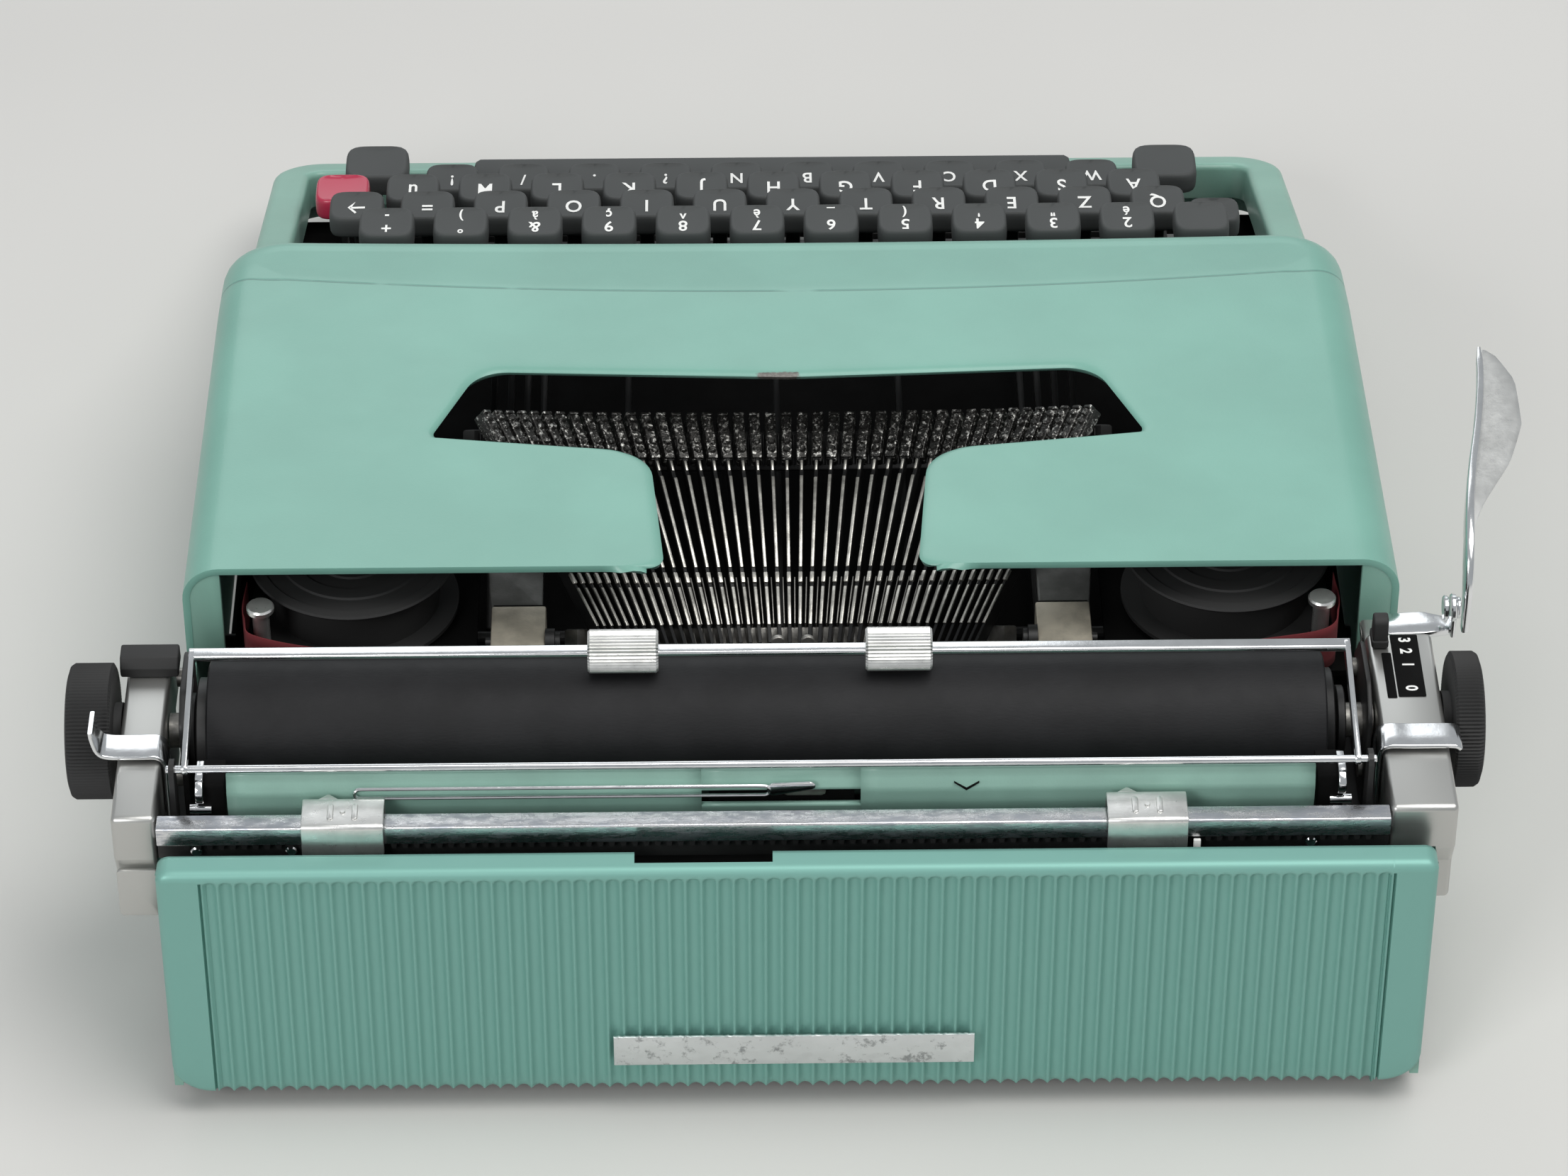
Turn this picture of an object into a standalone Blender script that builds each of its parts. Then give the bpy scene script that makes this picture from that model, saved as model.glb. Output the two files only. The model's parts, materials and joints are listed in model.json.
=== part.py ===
"""Portable typewriter: painted body, keyboard, type basket and sliding carriage.

Lengths below are millimetres; MM turns them into Blender's metres. +X is the
typist's right, +Y the rear and +Z up. The body's middle is at X = 0 and the
root empty moves the model so that its box stands centred on the origin.
"""

import math

import bmesh
import bpy
from mathutils import Matrix, Vector

MM = 0.001
GAP = 0.3

# Root placement: middle of the overall box, seen from the body's middle.
BOX_MIDDLE_X = -4.6
BOX_MIDDLE_Y = -1.2

# Body shell.
BODY_HALF = 141.5
BODY_REAR = 172.5
SHELL = 2.0
FOOT_HEIGHT = 4.0
FOOT_PLACES = {"front": (129.5, -160.0), "rear": (129.5, 150.0)}
FLOOR_PAN = (4.3, 5.7)
BODY_LOW = 6.0
PANEL_TOP = 72.5
FLANGE_FRONT = 166.0
SIDE_TOP_REAR = 48.4
BADGE = (80.7, 8.9, 0.8)
BADGE_MIDDLE = (0.8, 19.2)

# Frame around the keys.
FRAME_HALF = 137.0
WELL_HALF = 127.3
FRAME_FRONT = -176.0
WELL_FRONT = -169.6
FRAME_REAR = -77.5
FRAME_SLOPE = math.tan(math.radians(19.0))
FRAME_HEIGHT_REAR = 56.9

# Cover over ribbon and type basket.
COVER_REAR = 79.0
COVER_LOW = 56.0
COVER_THICK = 1.8
COVER_EDGE = 8.0
COVER_HEIGHTS = ((-75.0, 66.0), (-72.0, 69.0), (-47.0, 76.0), (79.0, 84.0))
LEG_INNER = 132.5

# Keyboard: pitch and the four rows as (middle Y, cap top, first key X, keys).
PITCH = 19.05
CAP_WIDTH = 14.2
CAP_DEPTH = 13.0
CAP_HEIGHT = 6.0
STEM = 2.0
ROWS = (
    (-89.0, 64.0, -88.9, 11),
    (-108.0, 56.0, -98.4, 11),
    (-127.5, 48.0, -93.6, 11),
    (-146.5, 38.0, -83.9, 10),
)
ROW_ARM_DROP = (5.0, 5.0, 4.0, 1.0)
SAMPLE_KEY = 5
FULCRUM = (20.0, 14.0)
LEVER_THICK = 2.0

# Type basket: a tilted ring of pivots whose bars all reach the print point.
RING_CENTRE = (98.0, 77.1)
RING_TILT = math.radians(51.0)
RING_RADIUS = 59.0
BAR_LENGTH = 59.7
BAR_SPREAD = math.radians(34.2)
BAR_STEP = math.radians(2.38)
BARS_EACH_SIDE = 21

# Ribbon.
SPOOL = (103.0, 58.0)
SPOOL_RADIUS = 24.5
SPOOL_Z = (57.3, 72.0)
DECK_Z = (54.0, 55.5)
RIBBON_HEIGHT = 12.5

# Carriage.
PLATEN = (120.0, 70.0)
PLATEN_RADIUS = 16.0
PLATEN_SPAN = (-119.8, 132.3)
END_RIGHT = (141.9, 151.7)
END_LEFT = (-146.6, -131.7)
END_TOP = 78.0
SHELF_Z = (70.4, 72.0)
BED_Z = (49.0, 51.0)
RAIL_TOP = 48.7
BAIL_ROD = (150.0, 84.0)
BAIL_BAR = (119.0, 91.3)
BAIL_ARMS = (-124.6, 135.5)
ROLLER_SPANS = {"bail_roller_right": (30.6, 46.5), "bail_roller_left": (-31.0, -16.0)}
MARGIN_RAIL_Y = (157.0, 162.0)
MARGIN_RAIL_Z = (71.8, 76.8)
STOP_SPANS = {"margin_stop_right": (91.3, 109.5), "margin_stop_left": (-86.4, -68.6)}
LEVER_PIVOT = (-139.0, 91.0)
SUPPORT_PIVOT = (3.0, 78.2)

# Finishes as (red, green, blue, roughness, metallic).
TEAL = (0.27, 0.50, 0.43, 0.42, 0.0)
PANEL_TEAL = (0.19, 0.40, 0.35, 0.42, 0.0)
CHROME = (0.80, 0.80, 0.80, 0.15, 1.0)
CAST_SILVER = (0.52, 0.52, 0.50, 0.45, 0.7)
STEEL = (0.35, 0.34, 0.32, 0.35, 1.0)
DARK_STEEL = (0.05, 0.05, 0.05, 0.50, 0.6)
BLACK_PLASTIC = (0.02, 0.02, 0.02, 0.45, 0.0)
KEY_GREY = (0.055, 0.057, 0.06, 0.45, 0.0)
KEY_RED = (0.42, 0.03, 0.07, 0.40, 0.0)
RUBBER = (0.02, 0.02, 0.022, 0.65, 0.0)
RIBBON_RED = (0.12, 0.01, 0.015, 0.80, 0.0)
ALUMINIUM = (0.70, 0.70, 0.69, 0.35, 0.9)

# Columns are the directions of an outline's own x, y and extrusion.
PLANES = {
    "X": Matrix(((0, 0, 1, 0), (1, 0, 0, 0), (0, 1, 0, 0), (0, 0, 0, 1))),
    "Y": Matrix(((1, 0, 0, 0), (0, 0, -1, 0), (0, 1, 0, 0), (0, 0, 0, 1))),
    "Z": Matrix.Identity(4),
}


def clear_scene():
    """Remove every object and make the collections for parts and cutters."""
    for leftover in list(bpy.data.objects):
        bpy.data.objects.remove(leftover, do_unlink=True)
    for title in ("portable_typewriter", "cutters"):
        group = bpy.data.collections.new(title)
        bpy.context.scene.collection.children.link(group)
    return bpy.data.collections["portable_typewriter"], bpy.data.collections["cutters"]


PARTS, CUTTERS = clear_scene()


def empty(name, place, carrier=None):
    """An empty at a place in millimetres that carries other objects."""
    marker = bpy.data.objects.new(name, None)
    marker.empty_display_size = 10 * MM
    PARTS.objects.link(marker)
    marker.parent = carrier
    marker.location = Vector(place) * MM
    if carrier:
        marker.location -= place_of(carrier)
    return marker


def place_of(carrier):
    """Place of an empty in the body's frame, in metres."""
    place = Vector((0.0, 0.0, 0.0))
    while carrier.parent:
        place += carrier.location
        carrier = carrier.parent
    return place


ROOT = empty("typewriter_root", (-BOX_MIDDLE_X, -BOX_MIDDLE_Y, 0.0))


def paint(piece, finish):
    """Give a piece its own Principled material."""
    red, green, blue, roughness, metallic = finish
    material = bpy.data.materials.new(piece.name)
    material.use_nodes = True
    shader = material.node_tree.nodes["Principled BSDF"]
    shader.inputs["Base Color"].default_value = (red, green, blue, 1.0)
    shader.inputs["Roughness"].default_value = roughness
    shader.inputs["Metallic"].default_value = metallic
    piece.data.materials.clear()
    piece.data.materials.append(material)


def add(name, mesh, finish, carrier=None):
    """Link a mesh given in the body's frame as a named, coloured piece."""
    carrier = carrier or ROOT
    corners = [vertex.co for vertex in mesh.vertices]
    low = Vector(min(corner[i] for corner in corners) for i in range(3))
    high = Vector(max(corner[i] for corner in corners) for i in range(3))
    middle = (low + high) / 2
    mesh.transform(Matrix.Translation(-middle))
    piece = bpy.data.objects.new(name, mesh)
    PARTS.objects.link(piece)
    piece.parent = carrier
    piece.location = middle - place_of(carrier)
    paint(piece, finish)
    return piece


def combine(piece, mesh, operation):
    """Cut a mesh from a piece, or join it to the piece, with a Boolean."""
    tool = bpy.data.objects.new(f"{piece.name}_{operation.lower()}", mesh)
    CUTTERS.objects.link(tool)
    tool.parent = ROOT
    tool.hide_render = True
    tool.display_type = "WIRE"
    modifier = piece.modifiers.new(operation.title(), "BOOLEAN")
    modifier.operation = operation
    modifier.solver = "EXACT"
    modifier.object = tool
    return piece


def cut(piece, mesh):
    return combine(piece, mesh, "DIFFERENCE")


def fuse(piece, mesh):
    return combine(piece, mesh, "UNION")


def smooth(piece):
    """Shade a round piece smooth, with its corners kept sharp."""
    piece.data.shade_smooth()
    piece.data.set_sharp_from_angle(angle=math.radians(40))
    return piece


def mesh_from(build):
    """Mesh made by a function that fills a bmesh."""
    form = bmesh.new()
    build(form)
    mesh = bpy.data.meshes.new("solid")
    form.to_mesh(mesh)
    form.free()
    return mesh


def box(low, high):
    """Box between two corners in millimetres."""
    low, high = Vector(low) * MM, Vector(high) * MM
    place = Matrix.Translation((low + high) / 2) @ Matrix.Diagonal((*(high - low), 1.0))
    return mesh_from(lambda form: bmesh.ops.create_cube(form, size=1.0, matrix=place))


def rod(axis, place, span, radius, segments=16):
    """Cylinder along X, Y or Z; place is its middle line in the other two axes."""
    middle = (span[0] + span[1]) / 2
    turn = PLANES[axis]
    centre = turn @ Vector((place[0], place[1], middle if axis != "Y" else -middle))
    matrix = Matrix.Translation(centre * MM) @ turn

    def build(form):
        bmesh.ops.create_cone(
            form,
            cap_ends=True,
            segments=segments,
            radius1=radius * MM,
            radius2=radius * MM,
            depth=(span[1] - span[0]) * MM,
            matrix=matrix,
        )

    return mesh_from(build)


def outline(corners, steps=4):
    """Closed outline from corners (x, y) or (x, y, radius), rounded by arcs."""
    points = []
    for index, corner in enumerate(corners):
        here = Vector(corner[:2])
        radius = corner[2] if len(corner) > 2 else 0.0
        if not radius:
            points.append(tuple(here))
            continue
        back = (Vector(corners[index - 1][:2]) - here).normalized()
        ahead = (Vector(corners[(index + 1) % len(corners)][:2]) - here).normalized()
        half = math.acos(max(-1.0, min(1.0, back.dot(ahead)))) / 2
        reach = radius / math.tan(half)
        centre = here + (back + ahead).normalized() * (radius / math.sin(half))
        start, end = here + back * reach - centre, here + ahead * reach - centre
        sweep = start.angle_signed(end)
        for step in range(steps + 1):
            points.append(tuple(centre + Matrix.Rotation(-sweep * step / steps, 2) @ start))
    return points


def rectangle(half_x, low, high, radius):
    return outline([(-half_x, low, radius), (half_x, low, radius),
                    (half_x, high, radius), (-half_x, high, radius)])


def prism(axis, loop, span, holes=()):
    """Solid between two values on an axis, from a flat outline and its holes."""
    curve = bpy.data.curves.new("outline", "CURVE")
    curve.dimensions = "2D"
    curve.fill_mode = "BOTH"
    curve.extrude = (span[1] - span[0]) / 2 * MM
    for ring in (loop, *holes):
        spline = curve.splines.new("POLY")
        spline.points.add(len(ring) - 1)
        for point, (x, y) in zip(spline.points, ring):
            point.co = (x * MM, y * MM, 0.0, 1.0)
        spline.use_cyclic_u = True
    turn = PLANES[axis]
    middle = (span[0] + span[1]) / 2 * MM
    shift = Vector((0, middle, 0)) if axis == "Y" else turn @ Vector((0, 0, middle))
    return mesh_of_curve(curve, Matrix.Translation(shift) @ turn)


def mesh_of_curve(curve, matrix):
    """Welded mesh of a curve, moved by a matrix; the curve is removed."""
    holder = bpy.data.objects.new("curve", curve)
    bpy.context.scene.collection.objects.link(holder)
    depsgraph = bpy.context.evaluated_depsgraph_get()
    mesh = bpy.data.meshes.new_from_object(holder.evaluated_get(depsgraph))
    bpy.data.objects.remove(holder, do_unlink=True)
    form = bmesh.new()
    form.from_mesh(mesh)
    bmesh.ops.remove_doubles(form, verts=form.verts, dist=0.00001)
    form.to_mesh(mesh)
    form.free()
    mesh.transform(matrix)
    return mesh


def circle(x, y, radius, steps=16):
    return [(x + radius * math.cos(2 * math.pi * i / steps),
             y + radius * math.sin(2 * math.pi * i / steps)) for i in range(steps)]


def turned(name, finish, axis, place, profile, carrier=None, closed=False, steps=32):
    """Turned piece: profile (radius, height) runs down its outer side."""
    mesh = bpy.data.meshes.new(name)
    points = [(radius * MM, 0.0, height * MM) for radius, height in profile]
    edges = [(i, i + 1) for i in range(len(points) - 1)]
    if closed:
        edges.append((len(points) - 1, 0))
    mesh.from_pydata(points, edges, [])
    carrier = carrier or ROOT
    piece = bpy.data.objects.new(name, mesh)
    PARTS.objects.link(piece)
    piece.parent = carrier
    piece.location = Vector(place) * MM - place_of(carrier)
    if axis == "X":
        piece.rotation_euler = (0.0, math.pi / 2, 0.0)
    if axis == "Y":
        piece.rotation_euler = (-math.pi / 2, 0.0, 0.0)
    screw = piece.modifiers.new("Screw", "SCREW")
    screw.steps = steps
    screw.render_steps = steps
    screw.use_merge_vertices = True
    screw.merge_threshold = 0.00001
    paint(piece, finish)
    return piece


def sheet(name, finish, rows, thickness, carrier=None):
    """Thin wall: rows of points in millimetres skinned and given a thickness."""
    mesh = bpy.data.meshes.new(name)
    count = len(rows[0])
    points = [Vector(point) * MM for row in rows for point in row]
    faces = []
    for row in range(len(rows) - 1):
        for i in range(count - 1):
            first = row * count + i
            faces.append((first, first + 1, first + count + 1, first + count))
    mesh.from_pydata(points, [], faces)
    piece = add(name, mesh, finish, carrier)
    solidify = piece.modifiers.new("Solidify", "SOLIDIFY")
    solidify.thickness = thickness * MM
    solidify.offset = 0.0
    return piece


# Body ---------------------------------------------------------------------

def frame_height(y):
    """Height of the keyboard frame's sloping top at a depth."""
    return FRAME_HEIGHT_REAR + (y - FRAME_REAR) * FRAME_SLOPE


def build_base():
    pan = prism("Z", rectangle(139.0, -172.0, 168.0, 8.0), FLOOR_PAN,
                holes=[rectangle(120.0, -165.0, -112.0, 10.0)])
    add("base_pan", pan, DARK_STEEL)
    profile = [(0.0, FOOT_HEIGHT), (7.0, FOOT_HEIGHT), (7.5, 0.8), (6.7, 0.0), (0.0, 0.0)]
    for side, turn in (("left", -1.0), ("right", 1.0)):
        for end, (x, y) in FOOT_PLACES.items():
            smooth(turned(f"foot_{end}_{side}", RUBBER, "Z", (turn * x, y, 0.0), profile, steps=20))


def build_keyboard_frame():
    plan = outline([(-FRAME_HALF, FRAME_FRONT, 13.0), (FRAME_HALF, FRAME_FRONT, 13.0),
                    (FRAME_HALF, FRAME_REAR), (-FRAME_HALF, FRAME_REAR)], steps=5)
    frame = add("keyboard_frame", prism("Z", plan, (BODY_LOW, 60.0)), TEAL)
    front, rear = FRAME_FRONT - 5.0, FRAME_REAR + 5.0
    above = [(front, frame_height(front)), (rear, frame_height(rear)), (rear, 70.0), (front, 70.0)]
    cut(frame, prism("X", above, (-FRAME_HALF - 5.0, FRAME_HALF + 5.0)))
    well = outline([(-WELL_HALF, WELL_FRONT, 8.0), (WELL_HALF, WELL_FRONT, 8.0),
                    (WELL_HALF, rear), (-WELL_HALF, rear)])
    cut(frame, prism("Z", well, (0.0, 80.0)))
    inner_front, inner_rear = -160.0, FRAME_REAR - SHELL
    channel = [(inner_front, 0.0), (inner_rear, 0.0),
               (inner_rear, frame_height(inner_rear) - SHELL),
               (inner_front, frame_height(inner_front) - SHELL)]
    for side in (-1, 1):
        span = sorted((side * (WELL_HALF + SHELL), side * (FRAME_HALF - SHELL)))
        cut(frame, prism("X", channel, span))


def build_side_panels():
    loop = [(FRAME_REAR + GAP, BODY_LOW), (FRAME_REAR + GAP, COVER_LOW - GAP),
            (COVER_REAR, COVER_LOW - GAP), (84.0, SIDE_TOP_REAR),
            (169.2, SIDE_TOP_REAR), (169.2, BODY_LOW)]
    add("side_panel_right", prism("X", loop, (BODY_HALF - SHELL, BODY_HALF)), TEAL)
    add("side_panel_left", prism("X", loop, (-BODY_HALF, SHELL - BODY_HALF)), TEAL)


def build_rear_panel():
    face = outline([(-BODY_HALF, BODY_LOW, 9.0), (BODY_HALF, BODY_LOW, 9.0),
                    (BODY_HALF, PANEL_TOP, 3.0), (-BODY_HALF, PANEL_TOP, 3.0)])
    panel = add("rear_panel", prism("Y", face, (BODY_REAR - SHELL, BODY_REAR)), PANEL_TEAL)
    flange_low = PANEL_TOP - SHELL + 0.01
    fuse(panel, box((-138.0, FLANGE_FRONT, flange_low), (138.0, BODY_REAR - 1.0, PANEL_TOP - 0.01)))
    cut(panel, box((5.5, FLANGE_FRONT - 1.0, 60.0), (36.0, FLANGE_FRONT + 3.6, 75.0)))
    width, height, thick = BADGE
    x, z = BADGE_MIDDLE
    plate = outline([(x - width / 2, z - height / 2, 1.5), (x + width / 2, z - height / 2, 1.5),
                     (x + width / 2, z + height / 2, 1.5), (x - width / 2, z + height / 2, 1.5)])
    start = BODY_REAR + GAP
    add("badge_plate", prism("Y", plate, (start, start + thick)), ALUMINIUM)


def cover_section(y, height):
    """Section across the cover: skirt, rounded shoulder and top."""
    half = BODY_HALF - COVER_THICK / 2
    loop = [(-half, y, COVER_LOW + COVER_THICK / 2)]
    for side in (-1, 1):
        angles = [math.radians(22.5 * step) for step in range(5)]
        for angle in angles if side < 0 else reversed(angles):
            x = side * (half - COVER_EDGE + COVER_EDGE * math.cos(angle))
            loop.append((x, y, height - COVER_EDGE + COVER_EDGE * math.sin(angle)))
    loop.append((half, y, COVER_LOW + COVER_THICK / 2))
    return loop


def cover_opening():
    """Outline of the opening: wide over the slugs, narrow towards the platen."""
    half = [(75.0, -5.0, 10.0), (86.0, 24.5, 3.0), (33.5, 31.0, 12.0),
            (29.4, COVER_REAR - 0.2, 4.0), (36.0, COVER_REAR - 0.2), (36.0, 85.0)]
    front = [(0.0, -1.6)]
    left = [(-corner[0], *corner[1:]) for corner in reversed(half)]
    return outline(front + half + left)


def build_cover():
    half_sheet = COVER_THICK / 2
    sections = [cover_section(y, height - half_sheet) for y, height in COVER_HEIGHTS]
    cover = sheet("top_cover", TEAL, sections, COVER_THICK)
    for side in (-1, 1):
        xs = sorted((side * LEG_INNER, side * (BODY_HALF - 1.0)))
        fuse(cover, box((xs[0], COVER_REAR - 1.6, COVER_LOW + 1.0), (xs[1], COVER_REAR - 0.1, 75.5)))
    cut(cover, prism("Z", cover_opening(), (60.0, 95.0)))


def build_body():
    build_base()
    build_keyboard_frame()
    build_side_panels()
    build_rear_panel()
    build_cover()
    for end, (low, high) in {"front": (97.0, 105.0), "rear": (146.0, 152.0)}.items():
        rail = box((-139.2, low, RAIL_TOP - 5.0), (139.2, high, RAIL_TOP))
        add(f"carriage_rail_{end}", rail, STEEL)
    drum = empty("mainspring_axis", (-100.0, 125.0, 26.0), ROOT)
    profile = [(0.0, 6.0), (14.0, 6.0), (14.0, 4.5), (12.5, 4.5), (12.5, -4.5), (14.0, -4.5),
               (14.0, -6.0), (0.0, -6.0)]
    smooth(turned("mainspring_drum", STEEL, "Y", (-100.0, 125.0, 26.0), profile, drum, steps=24))


# Type basket and ribbon -----------------------------------------------------

def ring_frame():
    """Frame of the pivot ring: X, up the tilt, and forward off its plane."""
    sine, cosine = math.sin(RING_TILT), math.cos(RING_TILT)
    turn = Matrix(((1, 0, 0, 0), (0, sine, -cosine, 0), (0, cosine, sine, 0), (0, 0, 0, 1)))
    return Matrix.Translation(Vector((0.0, *RING_CENTRE)) * MM) @ turn


def bar_frame(angle):
    """Frame at a bar's pivot: thickness, depth and length of the bar."""
    inward = Matrix.Rotation(angle, 4, "Z")
    pivot = Matrix.Translation((0.0, -RING_RADIUS * MM, 0.0))
    lean = Matrix.Rotation(BAR_SPREAD, 4, "X")
    return ring_frame() @ inward @ pivot @ lean


def bar_boxes(angle, start):
    """Shank and slug of one typebar, as two boxes in its pivot frame."""
    shank = box((-0.5, -1.5, start), (0.5, 1.5, BAR_LENGTH - 5.0))
    slug = box((-1.4, -2.4, BAR_LENGTH - 6.0), (1.4, 2.4, BAR_LENGTH + 5.0))
    for solid in (shank, slug):
        solid.transform(bar_frame(angle))
    return shank, slug


def arc_band(inner, outer, half_angle, steps=16):
    """Band below the ring's centre between two radii."""
    angles = [half_angle * (2 * i / steps - 1) for i in range(steps + 1)]
    below = [(outer * math.sin(a), -outer * math.cos(a)) for a in angles]
    above = [(inner * math.sin(a), -inner * math.cos(a)) for a in reversed(angles)]
    return below + above


def merged(meshes):
    """One mesh holding several separate solids."""
    form = bmesh.new()
    for mesh in meshes:
        form.from_mesh(mesh)
    joined = bpy.data.meshes.new("merged")
    form.to_mesh(joined)
    form.free()
    return joined


def build_type_basket():
    ring = prism("Z", arc_band(53.0, 67.0, math.radians(53.0)), (-6.0, 3.0))
    ring.transform(ring_frame())
    basket = add("type_basket", ring, STEEL)
    slot = box((-1.2, -8.0, -12.0), (1.2, 16.0, 12.0))
    slot.transform(bar_frame(0.0))
    cut(basket, slot)
    bars = [i for i in range(-BARS_EACH_SIDE, BARS_EACH_SIDE + 1) if i]
    shanks, slugs = zip(*(bar_boxes(i * BAR_STEP, -2.0) for i in bars))
    fuse(basket, merged(shanks))
    fuse(basket, merged(slugs))

    pivot = bar_frame(0.0).translation / MM
    swing = empty("typebar_axis", pivot, ROOT)
    shank, slug = bar_boxes(0.0, -2.0)
    fuse(add("typebar_h", shank, STEEL, swing), slug)

    rest = prism("Z", arc_band(98.4, 102.4, math.radians(50.0)), (41.0, 51.0))
    rest.transform(ring_frame())
    add("type_rest", rest, DARK_STEEL)

    guide = outline([(-5.0, RAIL_TOP + GAP), (5.0, RAIL_TOP + GAP), (5.0, 79.0, 1.5), (1.9, 79.0, 1.4),
                     (1.9, 66.0), (-1.9, 66.0), (-1.9, 79.0, 1.4), (-5.0, 79.0, 1.5)], steps=3)
    add("type_guide", prism("Y", guide, (98.4, 99.6)), CAST_SILVER)


def build_ribbon_parts():
    low, high = DECK_Z
    plan = [(-131.0, 34.0), (-74.0, 34.0), (-74.0, 81.6), (74.0, 81.6),
            (74.0, 34.0), (131.0, 34.0), (131.0, 85.0), (-131.0, 85.0)]
    deck = add("spool_deck", prism("Z", plan, DECK_Z), DARK_STEEL)
    for side in (-1, 1):
        xs = sorted((side * 58.0, side * 70.0))
        fuse(deck, box((xs[0], 66.0, low + 0.5), (xs[1], 82.5, 62.0)))
    bottom, top = SPOOL_Z
    for name, side in (("left", -1), ("right", 1)):
        place = (side * SPOOL[0], SPOOL[1], 0.0)
        axis = empty(f"spool_axis_{name}", place, ROOT)
        profile = [(0.0, top), (SPOOL_RADIUS, top), (SPOOL_RADIUS, top - 1.2), (20.0, top - 1.2),
                   (20.0, bottom + 1.2), (SPOOL_RADIUS, bottom + 1.2), (SPOOL_RADIUS, bottom),
                   (0.0, bottom)]
        smooth(turned(f"ribbon_spool_{name}", BLACK_PLASTIC, "Z", place, profile, axis, steps=28))
        post = [(0.0, 74.0), (2.6, 74.0), (3.25, 73.4), (3.25, 72.4), (2.0, 72.4),
                (2.0, high + GAP), (0.0, high + GAP)]
        place = (side * 123.5, 80.0, 0.0)
        smooth(turned(f"spool_post_{name}", CHROME, "Z", place, post, steps=16))
    route = [(-127.6, 66.0, 57.5), (-127.6, 80.0, 57.5), (-122.0, 87.5, 57.5), (-80.0, 92.5, 55.0),
             (-28.0, 94.8, 50.0), (-9.0, 101.6, 49.4)]
    route += [(-x, y, z) for x, y, z in reversed(route)]
    rows = [route, [(x, y, z + RIBBON_HEIGHT) for x, y, z in route]]
    sheet("ink_ribbon", RIBBON_RED, rows, 0.4)


# Keyboard -------------------------------------------------------------------

def arm(x, y, z_low, z_top):
    """Side view plate that runs from under a key back to the fulcrum."""
    back = FULCRUM[0] - 2.6
    pivot_z = FULCRUM[1]
    loop = [(y - 3.0, z_top), (y - 3.0, z_low - 1.5), (back, pivot_z - 1.5),
            (back, pivot_z + 1.5), (y + 3.0, z_low + 1.5), (y + 3.0, z_top)]
    return prism("X", loop, (x - LEVER_THICK / 2, x + LEVER_THICK / 2))


def row_piece(name, keys, row, arms, carrier):
    """Caps of one row on stems that stand on one cross bar with its levers."""
    y, top = ROWS[row][:2]
    front, rear = y - CAP_DEPTH / 2, y + CAP_DEPTH / 2
    bar_low, bar_top, cap_low = top - 17.0, top - 14.0, top - CAP_HEIGHT
    bar = box((keys[0] - STEM, y - 3.0, bar_low), (keys[-1] + STEM, y + 3.0, bar_top))
    piece = add(name, bar, KEY_GREY, carrier)
    stems = [box((x - STEM, y - STEM, bar_low + 1.0), (x + STEM, y + STEM, cap_low + 1.0))
             for x in keys]
    caps = [box((x - CAP_WIDTH / 2, front, cap_low), (x + CAP_WIDTH / 2, rear, top)) for x in keys]
    fuse(piece, merged(stems))
    fuse(piece, merged(caps))
    for x in arms:
        fuse(piece, arm(x, y, bar_low - ROW_ARM_DROP[row], bar_low + 1.5))


def single_key(name, x, y, top, width, depth, arm_low, carrier, finish=KEY_GREY):
    """Cap on its own lever."""
    cap = box((x - width / 2, y - depth / 2, top - CAP_HEIGHT), (x + width / 2, y + depth / 2, top))
    fuse(add(name, cap, finish, carrier), arm(x, y, arm_low, top - 3.0))


def build_keyboard():
    add("key_fulcrum", rod("X", FULCRUM, (-139.2, 139.2), 2.0), STEEL)

    def lever_axis(name):
        return empty(f"{name}_axis", (0.0, *FULCRUM), ROOT)

    for row, (_, _, first, count) in enumerate(ROWS):
        keys = [first + PITCH * i for i in range(count)]
        arms = 74.0 - 4.0 * row
        axis = lever_axis(f"key_row_{row + 1}")
        if row == 2:
            row_piece("key_row_3_left", keys[:SAMPLE_KEY], row, (-arms, -30.0), axis)
            row_piece("key_row_3_right", keys[SAMPLE_KEY + 1:], row, (40.0, arms), axis)
            y, top = ROWS[row][:2]
            single_key("key_h", keys[SAMPLE_KEY], y, top, CAP_WIDTH, CAP_DEPTH, top - 21.0,
                       lever_axis("key_h"))
        else:
            row_piece(f"key_row_{row + 1}", keys, row, (-arms, arms), axis)

    # Name, X, Y, top, width, depth, lever height under the cap, finish.
    extras = (
        ("backspace_key", 110.5, -108.0, 56.0, CAP_WIDTH, CAP_DEPTH, 34.0, KEY_GREY),
        ("tab_key", 115.5, -127.5, 48.0, CAP_WIDTH, CAP_DEPTH, 26.0, KEY_RED),
        ("shift_key_right", 108.0, -155.0, 37.5, 17.0, 16.5, 18.0, KEY_GREY),
        ("shift_key_left", -104.0, -153.5, 37.0, 17.0, 16.5, 18.0, KEY_GREY),
        ("shift_lock_key", -113.0, -104.5, 55.0, 13.0, 11.0, 30.0, KEY_GREY),
        ("margin_release_key", -108.0, -89.0, 64.0, CAP_WIDTH, CAP_DEPTH, 40.0, KEY_GREY),
    )
    for name, x, y, top, width, depth, low, finish in extras:
        single_key(name, x, y, top, width, depth, low, lever_axis(name), finish)

    travel = empty("space_bar_axis", (1.5, -163.0, 26.0), ROOT)
    bar = add("space_bar", box((-79.7, -168.0, 23.0), (82.7, -157.5, 30.0)), KEY_GREY, travel)
    for x in (-54.0, 54.0):
        fuse(bar, box((x - 1.5, -164.0, 9.0), (x + 1.5, -160.0, 24.0)))


# Carriage -------------------------------------------------------------------

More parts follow.
